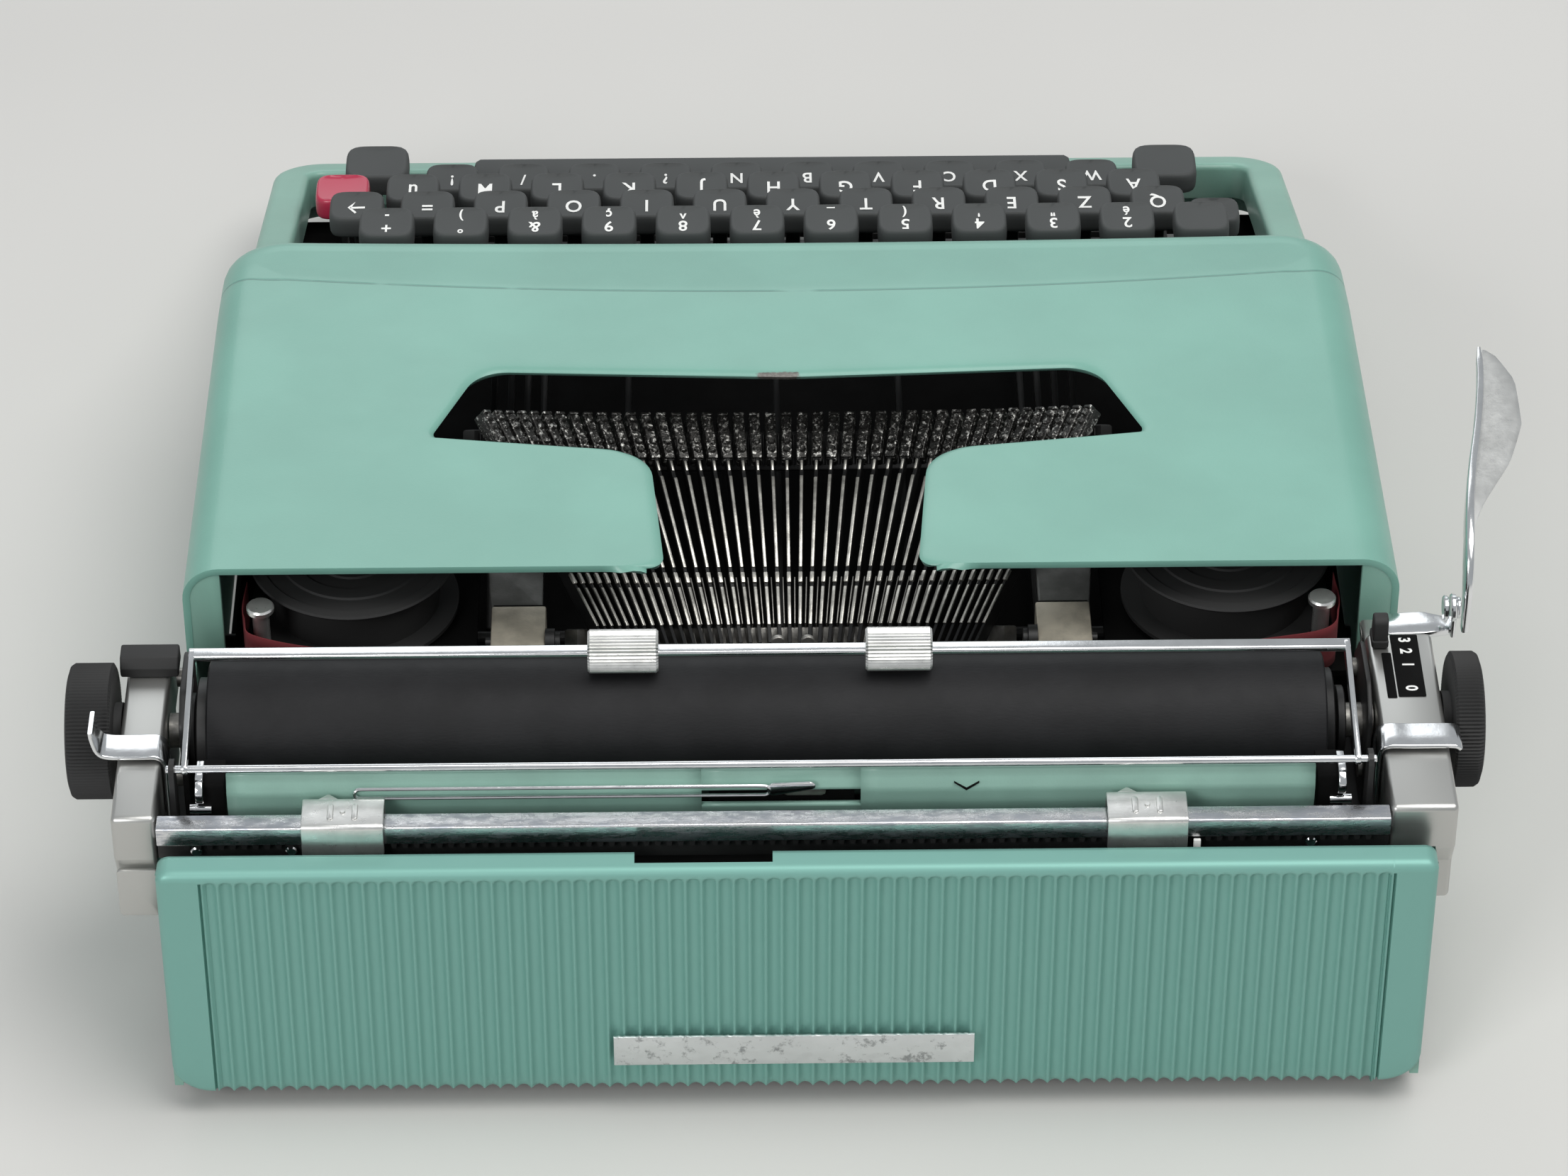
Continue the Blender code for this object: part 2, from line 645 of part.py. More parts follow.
def end_casting(name, span, shelf, carrier):
    """Cast end of the carriage with a bore for the platen shaft."""
    front = [(96.0, 63.0)]
    if shelf:
        front += [(96.0, SHELF_Z[0]), (86.0, SHELF_Z[0]), (86.0, SHELF_Z[1]), (96.0, SHELF_Z[1])]
    loop = outline(front + [(96.0, 74.0), (99.0, END_TOP, 2.0), (160.0, END_TOP, 2.0),
                            (160.0, 66.0), (157.0, 60.0), (157.0, BED_Z[0]),
                            (104.0, BED_Z[0]), (104.0, 63.0)], steps=2)
    add(name, prism("X", loop, span, holes=[circle(*PLATEN, 4.6)]), CAST_SILVER, carrier)


def build_platen(carrier):
    axis = empty("platen_axis", (0.0, *PLATEN), carrier)
    left, right = PLATEN_SPAN
    shaft = 4.0
    profile = [(0.0, 153.7), (shaft, 153.7), (shaft, right), (PLATEN_RADIUS, right),
               (PLATEN_RADIUS, left), (shaft, left), (shaft, -146.7), (0.0, -146.7)]
    smooth(turned("platen", RUBBER, "X", (0.0, *PLATEN), profile, axis))
    for name, inner, outer in (("knob_right", 154.0, 164.2), ("knob_left", -147.0, -155.6)):
        turn = 1.0 if outer > inner else -1.0
        profile = [(0.0, outer), (14.3, outer), (15.5, outer - 1.2 * turn), (15.5, inner), (0.0, inner)]
        if turn < 0:
            profile.reverse()
        smooth(turned(name, BLACK_PLASTIC, "X", (0.0, *PLATEN), profile, axis))


def build_bail(carrier):
    axis = empty("paper_bail_axis", (0.0, *BAIL_ROD), carrier)
    left, right = BAIL_ARMS
    bail = add("paper_bail", rod("X", BAIL_ROD, (left - 4.2, right + 4.2), 0.9, 8), CHROME, axis)
    y, z = BAIL_BAR
    fuse(bail, box((left - 0.9, y - 1.6, z - 1.6), (right + 0.9, y + 1.6, z + 1.6)))
    arm_loop = [(y, z - 1.2), (BAIL_ROD[0], BAIL_ROD[1] - 0.8),
                (BAIL_ROD[0], BAIL_ROD[1] + 0.8), (y, z + 1.2)]
    for x in BAIL_ARMS:
        fuse(bail, prism("X", arm_loop, (x - 0.7, x + 0.7)))
    for name, (low, high) in ROLLER_SPANS.items():
        spin = empty(f"{name}_axis", (0.0, *BAIL_BAR), axis)
        ring = [(5.0, high), (5.0, low), (2.7, low), (2.7, high)]
        smooth(turned(name, ALUMINIUM, "X", (0.0, *BAIL_BAR), ring, spin, closed=True, steps=24))
    plate = outline([(146.0, BED_Z[1] + GAP), (154.0, BED_Z[1] + GAP), (152.5, 86.0, 2.0), (147.5, 86.0, 2.0)],
                    steps=2)
    for name, x in (("left", left - 3.4), ("right", right + 2.2)):
        bracket = prism("X", plate, (x, x + 1.2), holes=[circle(*BAIL_ROD, 1.3, 10)])
        add(f"bail_bracket_{name}", bracket, DARK_STEEL, carrier)


def build_paper_table(carrier):
    profile = [(133.0, 57.0), (139.0, 56.0), (146.0, 62.0), (150.0, 70.0), (150.6, 78.0), (149.2, 82.0)]
    rows = [[(x, y, z) for y, z in profile] for x in (-115.4, 126.5)]
    table = sheet("paper_table", TEAL, rows, 1.2, carrier)
    cut(table, box((-14.3, 140.0, 73.4), (21.1, 155.0, 77.2)))
    x, z = SUPPORT_PIVOT
    axis = empty("paper_support_axis", (x, 152.0, z), carrier)
    outer = outline([(x - 3.5, z - 2.4, 2.3), (98.6, z - 2.4, 2.3), (98.6, z + 2.4, 2.3), (x - 3.5, z + 2.4, 2.3)])
    inner = outline([(x + 5.0, z - 1.2, 1.1), (97.4, z - 1.2, 1.1), (97.4, z + 1.2, 1.1), (x + 5.0, z + 1.2, 1.1)])
    add("paper_support", prism("Y", outer, (151.7, 152.7), holes=[inner]), CHROME, axis)


def build_margin_set(carrier):
    (y0, y1), (z0, z1) = MARGIN_RAIL_Y, MARGIN_RAIL_Z
    rail = box((END_LEFT[1] + GAP, y0, z0), (END_RIGHT[0] - GAP, y1, z1))
    add("margin_rail", rail, CHROME, carrier)
    for name, span in STOP_SPANS.items():
        middle = (span[0] + span[1]) / 2
        axis = empty(f"{name}_axis", (middle, (y0 + y1) / 2, z1), carrier)
        front, rear, top = y0 - 2.4, y1 + 0.5, z1 + 0.5
        cap = [(front - 1.2, z0 + 0.5), (front - 1.2, top + 1.2), (rear + 1.2, top + 1.2),
               (rear + 1.2, z0 - 0.8), (rear, z0 - 0.8), (rear, top), (front, top), (front, z0 + 0.5)]
        stop = add(name, prism("X", cap, span), ALUMINIUM, axis)
        tip = [(middle - 3.0, front - 0.6), (middle, 153.0), (middle + 3.0, front - 0.6)]
        fuse(stop, prism("Z", tip, (top + 0.1, top + 1.1)))


def loft(sections):
    """Solid through rectangular sections, each a list of four corners."""
    points = [Vector(corner) * MM for section in sections for corner in section]
    faces = [(3, 2, 1, 0)]
    for step in range(len(sections) - 1):
        for i in range(4):
            j = (i + 1) % 4
            faces.append((4 * step + i, 4 * step + j, 4 * step + 4 + j, 4 * step + 4 + i))
    last = 4 * (len(sections) - 1)
    faces.append((last, last + 1, last + 2, last + 3))
    mesh = bpy.data.meshes.new("loft")
    mesh.from_pydata(points, [], faces)
    form = bmesh.new()
    form.from_mesh(mesh)
    bmesh.ops.recalc_face_normals(form, faces=form.faces)
    form.to_mesh(mesh)
    form.free()
    return mesh


def build_return_lever(carrier):
    """Bracket on the left casting's shelf and the long lever that rises from it."""
    x, y = LEVER_PIVOT
    axis = empty("return_lever_axis", (x, y, 74.0), carrier)
    plan = outline([(x + 4.0, y - 4.0, 3.0), (x + 4.0, y + 4.0, 3.0), (-156.4, 94.0, 1.0),
                    (-156.4, 87.0, 1.0)])
    lever = add("return_lever", prism("Z", plan, (72.4, 74.4)), CHROME, axis)
    # Middle X, Y, Z, half width across, half height of each section.
    stations = ((-155.4, 90.4, 73.6, 1.0, 2.9), (-155.6, 88.5, 84.0, 1.1, 3.0),
                (-156.2, 84.0, 91.0, 1.3, 4.0), (-158.6, 66.0, 94.0, 1.8, 4.2),
                (-165.0, 47.0, 97.6, 6.6, 2.2), (-167.6, 33.0, 100.3, 5.8, 1.4),
                (-167.0, 21.0, 102.6, 2.4, 0.9))
    sections = []
    for index, (sx, sy, sz, half_x, half_z) in enumerate(stations):
        depth = Vector((0.0, half_z, 0.0) if index < 2 else (0.0, 0.0, half_z))
        width = Vector((half_x, 0.0, 0.0))
        centre = Vector((sx, sy, sz))
        sections.append([centre + width * a + depth * b
                         for a, b in ((-1, -1), (1, -1), (1, 1), (-1, 1))])
    fuse(lever, loft(sections))


def build_carriage():
    carrier = empty("carriage_axis", (0.0, 125.0, BED_Z[0]), ROOT)
    bed = box((END_LEFT[1] + GAP, 103.0, BED_Z[0]), (END_RIGHT[0] - GAP, 158.0, BED_Z[1]))
    add("carriage_bed", bed, STEEL, carrier)
    end_casting("carriage_end_right", END_RIGHT, False, carrier)
    end_casting("carriage_end_left", END_LEFT, True, carrier)
    build_platen(carrier)
    build_bail(carrier)
    build_paper_table(carrier)
    build_margin_set(carrier)
    build_return_lever(carrier)

    slide = empty("line_space_selector_axis", (-134.2, 102.0, END_TOP), carrier)
    selector = box((-136.2, 99.0, END_TOP + 0.4), (-132.2, 105.0, 86.0))
    add("line_space_selector", selector, BLACK_PLASTIC, slide)
    slide = empty("carriage_lock_axis", (146.8, 107.5, END_TOP), carrier)
    button = box((139.7, 104.0, END_TOP + 0.4), (153.2, 111.0, 83.0))
    add("carriage_lock_slider", button, BLACK_PLASTIC, slide)

    over = END_TOP + 0.9
    strap_y = (133.0, 141.0)
    right = [(140.3, 60.0), (141.4, 60.0), (141.4, over), (155.0, over), (157.4, over + 6.5),
             (156.2, over + 7.0), (154.0, over + 1.2), (140.3, over + 1.2)]
    left = [(-131.2, 60.0), (-130.1, 60.0), (-130.1, over + 1.2), (-148.6, over + 1.2), (-148.6, over),
            (-131.2, over)]
    for name, loop in (("release_lever_right", right), ("release_lever_left", left)):
        pivot = empty(f"{name}_axis", (loop[0][0], 137.0, 60.5), carrier)
        add(name, prism("Y", loop, strap_y), CHROME, pivot)


def main():
    build_body()
    build_type_basket()
    build_ribbon_parts()
    build_keyboard()
    build_carriage()


main()
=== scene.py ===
"""Looks of a flat portable typewriter: painted shell, keys, type basket and carriage.

Sizes are millimetres in the body's own frame: X = 0 is the body's middle, +X the
typist's right, +Y the rear and +Z up. home() carries them into the row's frame.
"""

from __future__ import annotations

import json
import logging
import math
from collections.abc import Mapping, Sequence
from dataclasses import dataclass
from enum import Enum

import bpy
import numpy as np
from mathutils import Matrix, Vector

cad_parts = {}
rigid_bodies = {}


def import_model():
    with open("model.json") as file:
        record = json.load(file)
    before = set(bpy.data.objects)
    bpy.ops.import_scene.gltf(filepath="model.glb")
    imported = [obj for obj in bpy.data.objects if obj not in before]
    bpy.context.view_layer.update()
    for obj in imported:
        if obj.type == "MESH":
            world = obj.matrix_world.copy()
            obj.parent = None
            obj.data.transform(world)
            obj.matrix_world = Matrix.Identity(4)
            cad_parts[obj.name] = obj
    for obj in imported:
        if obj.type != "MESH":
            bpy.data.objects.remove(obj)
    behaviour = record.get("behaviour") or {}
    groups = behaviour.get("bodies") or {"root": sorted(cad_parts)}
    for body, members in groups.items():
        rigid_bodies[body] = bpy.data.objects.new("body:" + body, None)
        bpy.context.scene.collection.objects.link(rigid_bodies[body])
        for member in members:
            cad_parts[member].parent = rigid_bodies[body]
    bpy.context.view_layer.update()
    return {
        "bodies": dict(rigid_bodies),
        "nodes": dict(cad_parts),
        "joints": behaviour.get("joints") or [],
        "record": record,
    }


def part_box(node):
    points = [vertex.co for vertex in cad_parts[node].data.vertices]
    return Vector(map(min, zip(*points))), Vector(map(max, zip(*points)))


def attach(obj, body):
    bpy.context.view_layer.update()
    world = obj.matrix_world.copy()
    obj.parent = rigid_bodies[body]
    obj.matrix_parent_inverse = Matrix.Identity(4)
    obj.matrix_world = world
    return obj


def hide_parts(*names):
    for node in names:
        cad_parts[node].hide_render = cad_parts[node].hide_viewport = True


Array = np.ndarray
Colour = tuple[float, float, float]
Point = tuple[float, float, float]

LOG = logging.getLogger("typewriter")
MM = 0.001
BODY_REAR = 172.5
SHARP = 38.0
BEVEL_ANGLE = 50.0
GRAIN_DEPTH = 0.00012
CAPITAL_SHARE = 0.70
STROKE_EXTRA = 0.00011
RIBBON_WIDTH = 12.4
STRAP_Y = 137.0
SENSOR = 36.0
FLOOR_HALF = 2.5
FLOOR_LINES = 9
FLOOR_DROP = 0.0002

# Line pressed across the cover: y = middle - sweep (x / half)^2.
LINE_MIDDLE = -40.0
LINE_SWEEP = 9.0
LINE_HALF = 139.0


# Shader expressions ----------------------------------------------------------


class Value:
    """A socket that carries one number and works in arithmetic expressions."""

    def __init__(self, graph: Graph, socket: bpy.types.NodeSocket) -> None:
        """Wrap a socket of a graph."""
        self.graph = graph
        self.socket = socket

    def __add__(self, other: Value | float) -> Value:
        """Sum of two values."""
        return self.graph.maths("ADD", self, other)

    __radd__ = __add__

    def __sub__(self, other: Value | float) -> Value:
        """Difference of two values."""
        return self.graph.maths("SUBTRACT", self, other)

    def __rsub__(self, other: float) -> Value:
        """A number less this value."""
        return self.graph.maths("SUBTRACT", other, self)

    def __mul__(self, other: Value | float) -> Value:
        """Product of two values."""
        return self.graph.maths("MULTIPLY", self, other)

    __rmul__ = __mul__


class Graph:
    """Node tree of one material round its Principled shader."""

    def __init__(self, name: str) -> None:
        """Start a material with an empty expression.

        Args:
            name: Name of the material.
        """
        self.material = bpy.data.materials.new(name)
        self.material.use_nodes = True
        self.tree = self.material.node_tree
        self.shader = self.tree.nodes["Principled BSDF"]
        self.object_place = self.node("ShaderNodeTexCoord", out="Object")

    def node(
        self,
        kind: str,
        settings: Mapping[str, object] | None = None,
        inputs: Mapping[int | str, object] | None = None,
        out: int | str = 0,
    ) -> Value:
        """Add a node.

        Args:
            kind: Node type.
            settings: Properties, set first.
            inputs: Numbers, colours or values for its sockets.
            out: Which output is returned.

        Returns:
            The chosen output.
        """
        made = self.tree.nodes.new(kind)
        for key, setting in (settings or {}).items():
            setattr(made, key, setting)
        for key, given in (inputs or {}).items():
            if isinstance(given, Value):
                self.tree.links.new(given.socket, made.inputs[key])
            else:
                made.inputs[key].default_value = given
        return Value(self, made.outputs[out])

    def maths(self, operation: str, first: object, second: object = 0.0) -> Value:
        """Result of a Math node on two numbers."""
        return self.node("ShaderNodeMath", {"operation": operation}, {0: first, 1: second})

    def spot(self, scale: Point) -> Value:
        """Object coordinates in metres, stretched."""
        return self.node("ShaderNodeMapping", {}, {"Vector": self.object_place, "Scale": scale})

    def axis(self, index: int) -> Value:
        """One object coordinate in metres: 0 is X, 1 is Y and 2 is Z."""
        return self.node("ShaderNodeSeparateXYZ", {}, {0: self.object_place}, index)

    def noise(
        self, scale: float, detail: float = 3.0, rough: float = 0.55, place: Value | None = None
    ) -> Value:
        """Fractal noise from 0 to 1 with features of about 1 / scale metres."""
        return self.node(
            "ShaderNodeTexNoise",
            {},
            {"Vector": place or self.object_place, "Scale": scale, "Detail": detail, "Roughness": rough},
        )

    def cells(self, scale: float) -> Value:
        """Smooth distance inside Voronoi cells of about 1 / scale metres."""
        inputs = {"Vector": self.object_place, "Scale": scale}
        return self.node("ShaderNodeTexVoronoi", {"feature": "SMOOTH_F1"}, inputs)

    def step(self, given: Value, low: float, high: float) -> Value:
        """Smooth step of a value: 0 at low and 1 at high."""
        return self.node(
            "ShaderNodeMapRange",
            {"interpolation_type": "SMOOTHSTEP"},
            {"Value": given, "From Min": low, "From Max": high},
        )

    def mix(self, share: Value | float, first: object, second: object) -> Value:
        """Colour from first to second as share goes from 0 to 1."""
        first, second = (
            (*given, 1.0) if isinstance(given, tuple) else given for given in (first, second)
        )
        return self.node(
            "ShaderNodeMix", {"data_type": "RGBA"}, {0: share, 6: first, 7: second}, 2
        )

    def bump(self, height: Value, strength: float, depth: float, under: Value | None = None) -> Value:
        """Normal bent by a height whose full range is depth metres.

        Args:
            height: Height from 0 to 1.
            strength: Share of the bend that is kept.
            depth: Height of 1, in metres.
            under: Normal that is bent, or None for the surface's own.

        Returns:
            The bent normal.
        """
        inputs = {"Height": height, "Strength": strength, "Distance": depth}
        if under:
            inputs["Normal"] = under
        return self.node("ShaderNodeBump", {}, inputs)

    def put(self, **sockets: object) -> None:
        """Link values to, or set numbers on, the shader's sockets.

        Args:
            sockets: Values by socket name, with Base_Color for Base Color.
        """
        for key, given in sockets.items():
            socket = self.shader.inputs[key.replace("_", " ")]
            if isinstance(given, Value):
                self.tree.links.new(given.socket, socket)
            else:
                socket.default_value = given


@dataclass
class Layers:
    """What a finish feeds its shader, changed in turn by each kind of mark."""

    colour: Value
    roughness: Value
    metallic: Value | float
    normal: Value


@dataclass(frozen=True)
class Finish:
    """A surface finish: colour with soft patches, uneven gloss, fine grain and specks."""

    name: str
    colour: Colour
    roughness: float = 0.45
    metallic: float = 0.0
    slot: str = ""
    mottle: float = 0.10
    mottle_scale: float = 45.0
    smudge: float = 0.10
    grain: float = 0.15
    grain_scale: float = 1600.0
    grain_stretch: Point = (1.0, 1.0, 1.0)
    coat: float = 0.0
    shine: float = 0.5
    specks: float = 0.0
    speck_colour: Colour = (0.05, 0.06, 0.06)

    def build(self) -> bpy.types.Material:
        """Make the material of this finish, once.

        Returns:
            The material.
        """
        found = bpy.data.materials.get(self.name)
        if found:
            return found
        graph = Graph(self.name)
        patches = graph.noise(self.mottle_scale, 4.0)
        dark = tuple(channel * (1.0 - self.mottle) for channel in self.colour)
        light = tuple(min(1.0, channel * (1.0 + self.mottle)) for channel in self.colour)
        colour = graph.mix(graph.step(patches, 0.3, 0.7), dark, light)
        gloss = graph.noise(self.mottle_scale * 3.1, 3.0) * (2.0 * self.smudge)
        roughness = gloss + (self.roughness - self.smudge)
        fine = graph.noise(self.grain_scale, 2.0, 0.6, graph.spot(self.grain_stretch))
        normal = graph.bump(fine, self.grain, GRAIN_DEPTH)
        if self.specks > 0.0:
            share = graph.step(graph.noise(210.0, 2.0, 0.5), 1.0 - self.specks, 1.02 - self.specks)
            colour = graph.mix(share, colour, self.speck_colour)
            roughness = roughness + share * 0.25
        layers = Layers(colour, roughness, self.metallic, normal)
        self.detail(graph, layers)
        graph.put(Base_Color=layers.colour, Roughness=layers.roughness)
        graph.put(Metallic=layers.metallic, Normal=layers.normal)
        graph.put(Coat_Weight=self.coat, Coat_Roughness=0.12, Specular_IOR_Level=self.shine)
        return graph.material

    def detail(self, graph: Graph, layers: Layers) -> None:
        """Hook for finishes that add marks of their own.

        Args:
            graph: The material's graph.
            layers: The layers so far, changed in place.
        """


@dataclass(frozen=True)
class CoverPaint(Finish):
    """Shell paint with painted shade along a fine pressed line across the cover, and a worn patch."""

    worn_half: float = 6.5
    worn_y: float = -1.9

    def detail(self, graph: Graph, layers: Layers) -> None:
        """Painted shade along the line at y = middle - sweep * (x / half)^2, and bare metal at the
        opening's edge.

        Args:
            graph: The material's graph.
            layers: The layers so far, changed in place.
        """
        shift = home()
        across = (graph.axis(0) - shift.x) * (1.0 / (LINE_HALF * MM))
        behind = (graph.axis(1) - shift.y) * (1.0 / MM)
        line = behind + (across * across) * LINE_SWEEP + -LINE_MIDDLE
        # Painted shade: a thin broken line along the crease is darkened towards dark teal, and bumped.
        near = 1.0 - graph.step(graph.maths("ABSOLUTE", line), 0.15, 0.65)
        broken = graph.step(graph.noise(70.0, 2.0), 0.30, 0.45)
        mark = near * broken
        crease_shaded = graph.mix(mark * 0.42, layers.colour, (0.05, 0.13, 0.12))
        side = graph.maths("ABSOLUTE", (graph.axis(0) - shift.x) * (1.0 / MM) + -2.0)
        back = graph.maths("ABSOLUTE", behind + -self.worn_y)
        ragged = graph.noise(900.0, 4.0, 0.7) * 1.6
        inside = 1.0 - graph.step(side + ragged * 3.0, self.worn_half, self.worn_half + 1.6)
        worn = inside * (1.0 - graph.step(back + ragged * 0.8, 1.3, 1.9))
        bare = graph.mix(graph.noise(1500.0, 3.0), (0.05, 0.05, 0.045), (0.30, 0.29, 0.27))
        layers.colour = graph.mix(worn, crease_shaded, bare)
        layers.normal = graph.bump(1.0 - mark, 0.5, 0.0004, layers.normal)
        layers.roughness = layers.roughness + worn * 0.2
        layers.metallic = worn * 0.6


@dataclass(frozen=True)
class FlutedPaintWithShade(Finish):
    """Panel paint with painted shade in the flutes, below their arches and between the seams."""

    pitch: float = 3.55
    half: float = 131.3
    top: float = 70.4

    def detail(self, graph: Graph, layers: Layers) -> None:
        """Shade = smooth step of cos(2 pi (x + pitch / 2) / pitch), in the fluted field only.

        Args:
            graph: The material's graph.
            layers: The layers so far, changed in place.
        """
        shift = home()
        x = (graph.axis(0) - shift.x) * (1.0 / MM)
        z = graph.axis(2) * (1.0 / MM)
        wave = graph.maths("COSINE", (x + self.pitch / 2) * (2.0 * math.pi / self.pitch))
        groove_shade = graph.step(wave, -0.25, 0.95)
        inside = graph.step(graph.maths("ABSOLUTE", x), self.half + 0.6, self.half)
        below = graph.step(z, self.top, self.top - 1.2)
        # Painted shade: the flutes' grooves are darkened towards half the paint colour.
        share = groove_shade * inside * below * 0.62
        shade = tuple(channel * 0.50 for channel in self.colour)
        layers.colour = graph.mix(share, layers.colour, shade)


@dataclass(frozen=True)
class Hammered(Finish):
    """Worn aluminium with shallow hammer dents and dirt in its scratches."""

    def detail(self, graph: Graph, layers: Layers) -> None:
        """Dents from Voronoi cells and grey worn spots from noise.

        Args:
            graph: The material's graph.
            layers: The layers so far, changed in place.
        """
        dents = graph.cells(380.0)
        dirt = graph.step(graph.noise(330.0, 5.0, 0.7), 0.54, 0.68)
        layers.colour = graph.mix(dirt * 0.7, layers.colour, (0.19, 0.20, 0.20))
        layers.roughness = layers.roughness + dirt * 0.2
        layers.normal = graph.bump(dents, 0.5, 0.0006, layers.normal)


@dataclass(frozen=True)
class Streaked(Finish):
    """Plated steel whose lower faces are mottled with dull blotches."""

    def detail(self, graph: Graph, layers: Layers) -> None:
        """Blotches stretched along X darken and roughen the plating.

        Args:
            graph: The material's graph.
            layers: The layers so far, changed in place.
        """
        blotch = graph.noise(420.0, 5.0, 0.75, graph.spot((0.35, 1.0, 1.6)))
        share = graph.step(blotch, 0.42, 0.62)
        layers.colour = graph.mix(share * 0.55, layers.colour, (0.22, 0.25, 0.31))
        layers.roughness = layers.roughness + share * 0.18
        layers.normal = graph.bump(blotch, 0.25, 0.0003, layers.normal)


@dataclass(frozen=True)
class Weave(Finish):
    """Cloth of crossing threads."""

    thread: float = 0.0005

    def detail(self, graph: Graph, layers: Layers) -> None:
        """Threads as sin(x + y) * sin(z) ridges, one thread wide each way.

        Args:
            graph: The material's graph.
            layers: The layers so far, changed in place.
        """
        rate = math.pi / self.thread
        ridges = graph.maths("SINE", (graph.axis(0) + graph.axis(1)) * rate)
        rows = graph.maths("SINE", graph.axis(2) * rate)
        height = ridges * rows
        share = graph.step(height, -0.6, 0.8) * 0.5
        layers.colour = graph.mix(share, layers.colour, (0.20, 0.02, 0.03))
        layers.normal = graph.bump(height, 0.5, 0.0002, layers.normal)


@dataclass(frozen=True)
class TypeSteel(Finish):
    """Dark type metal with bright worn high spots."""

    bare: float = 0.85
    bare_scale: float = 900.0

    def detail(self, graph: Graph, layers: Layers) -> None:
        """High spots of a coarse noise are bare and bright.

        Args:
            graph: The material's graph.
            layers: The layers so far, changed in place.
        """
        rough_cast = graph.noise(self.bare_scale, 4.0, 0.65)
        bright = graph.step(rough_cast, 0.52, 0.68)
        layers.colour = graph.mix(bright * self.bare, layers.colour, (0.75, 0.74, 0.70))
        layers.normal = graph.bump(rough_cast, 0.6, 0.0006, layers.normal)


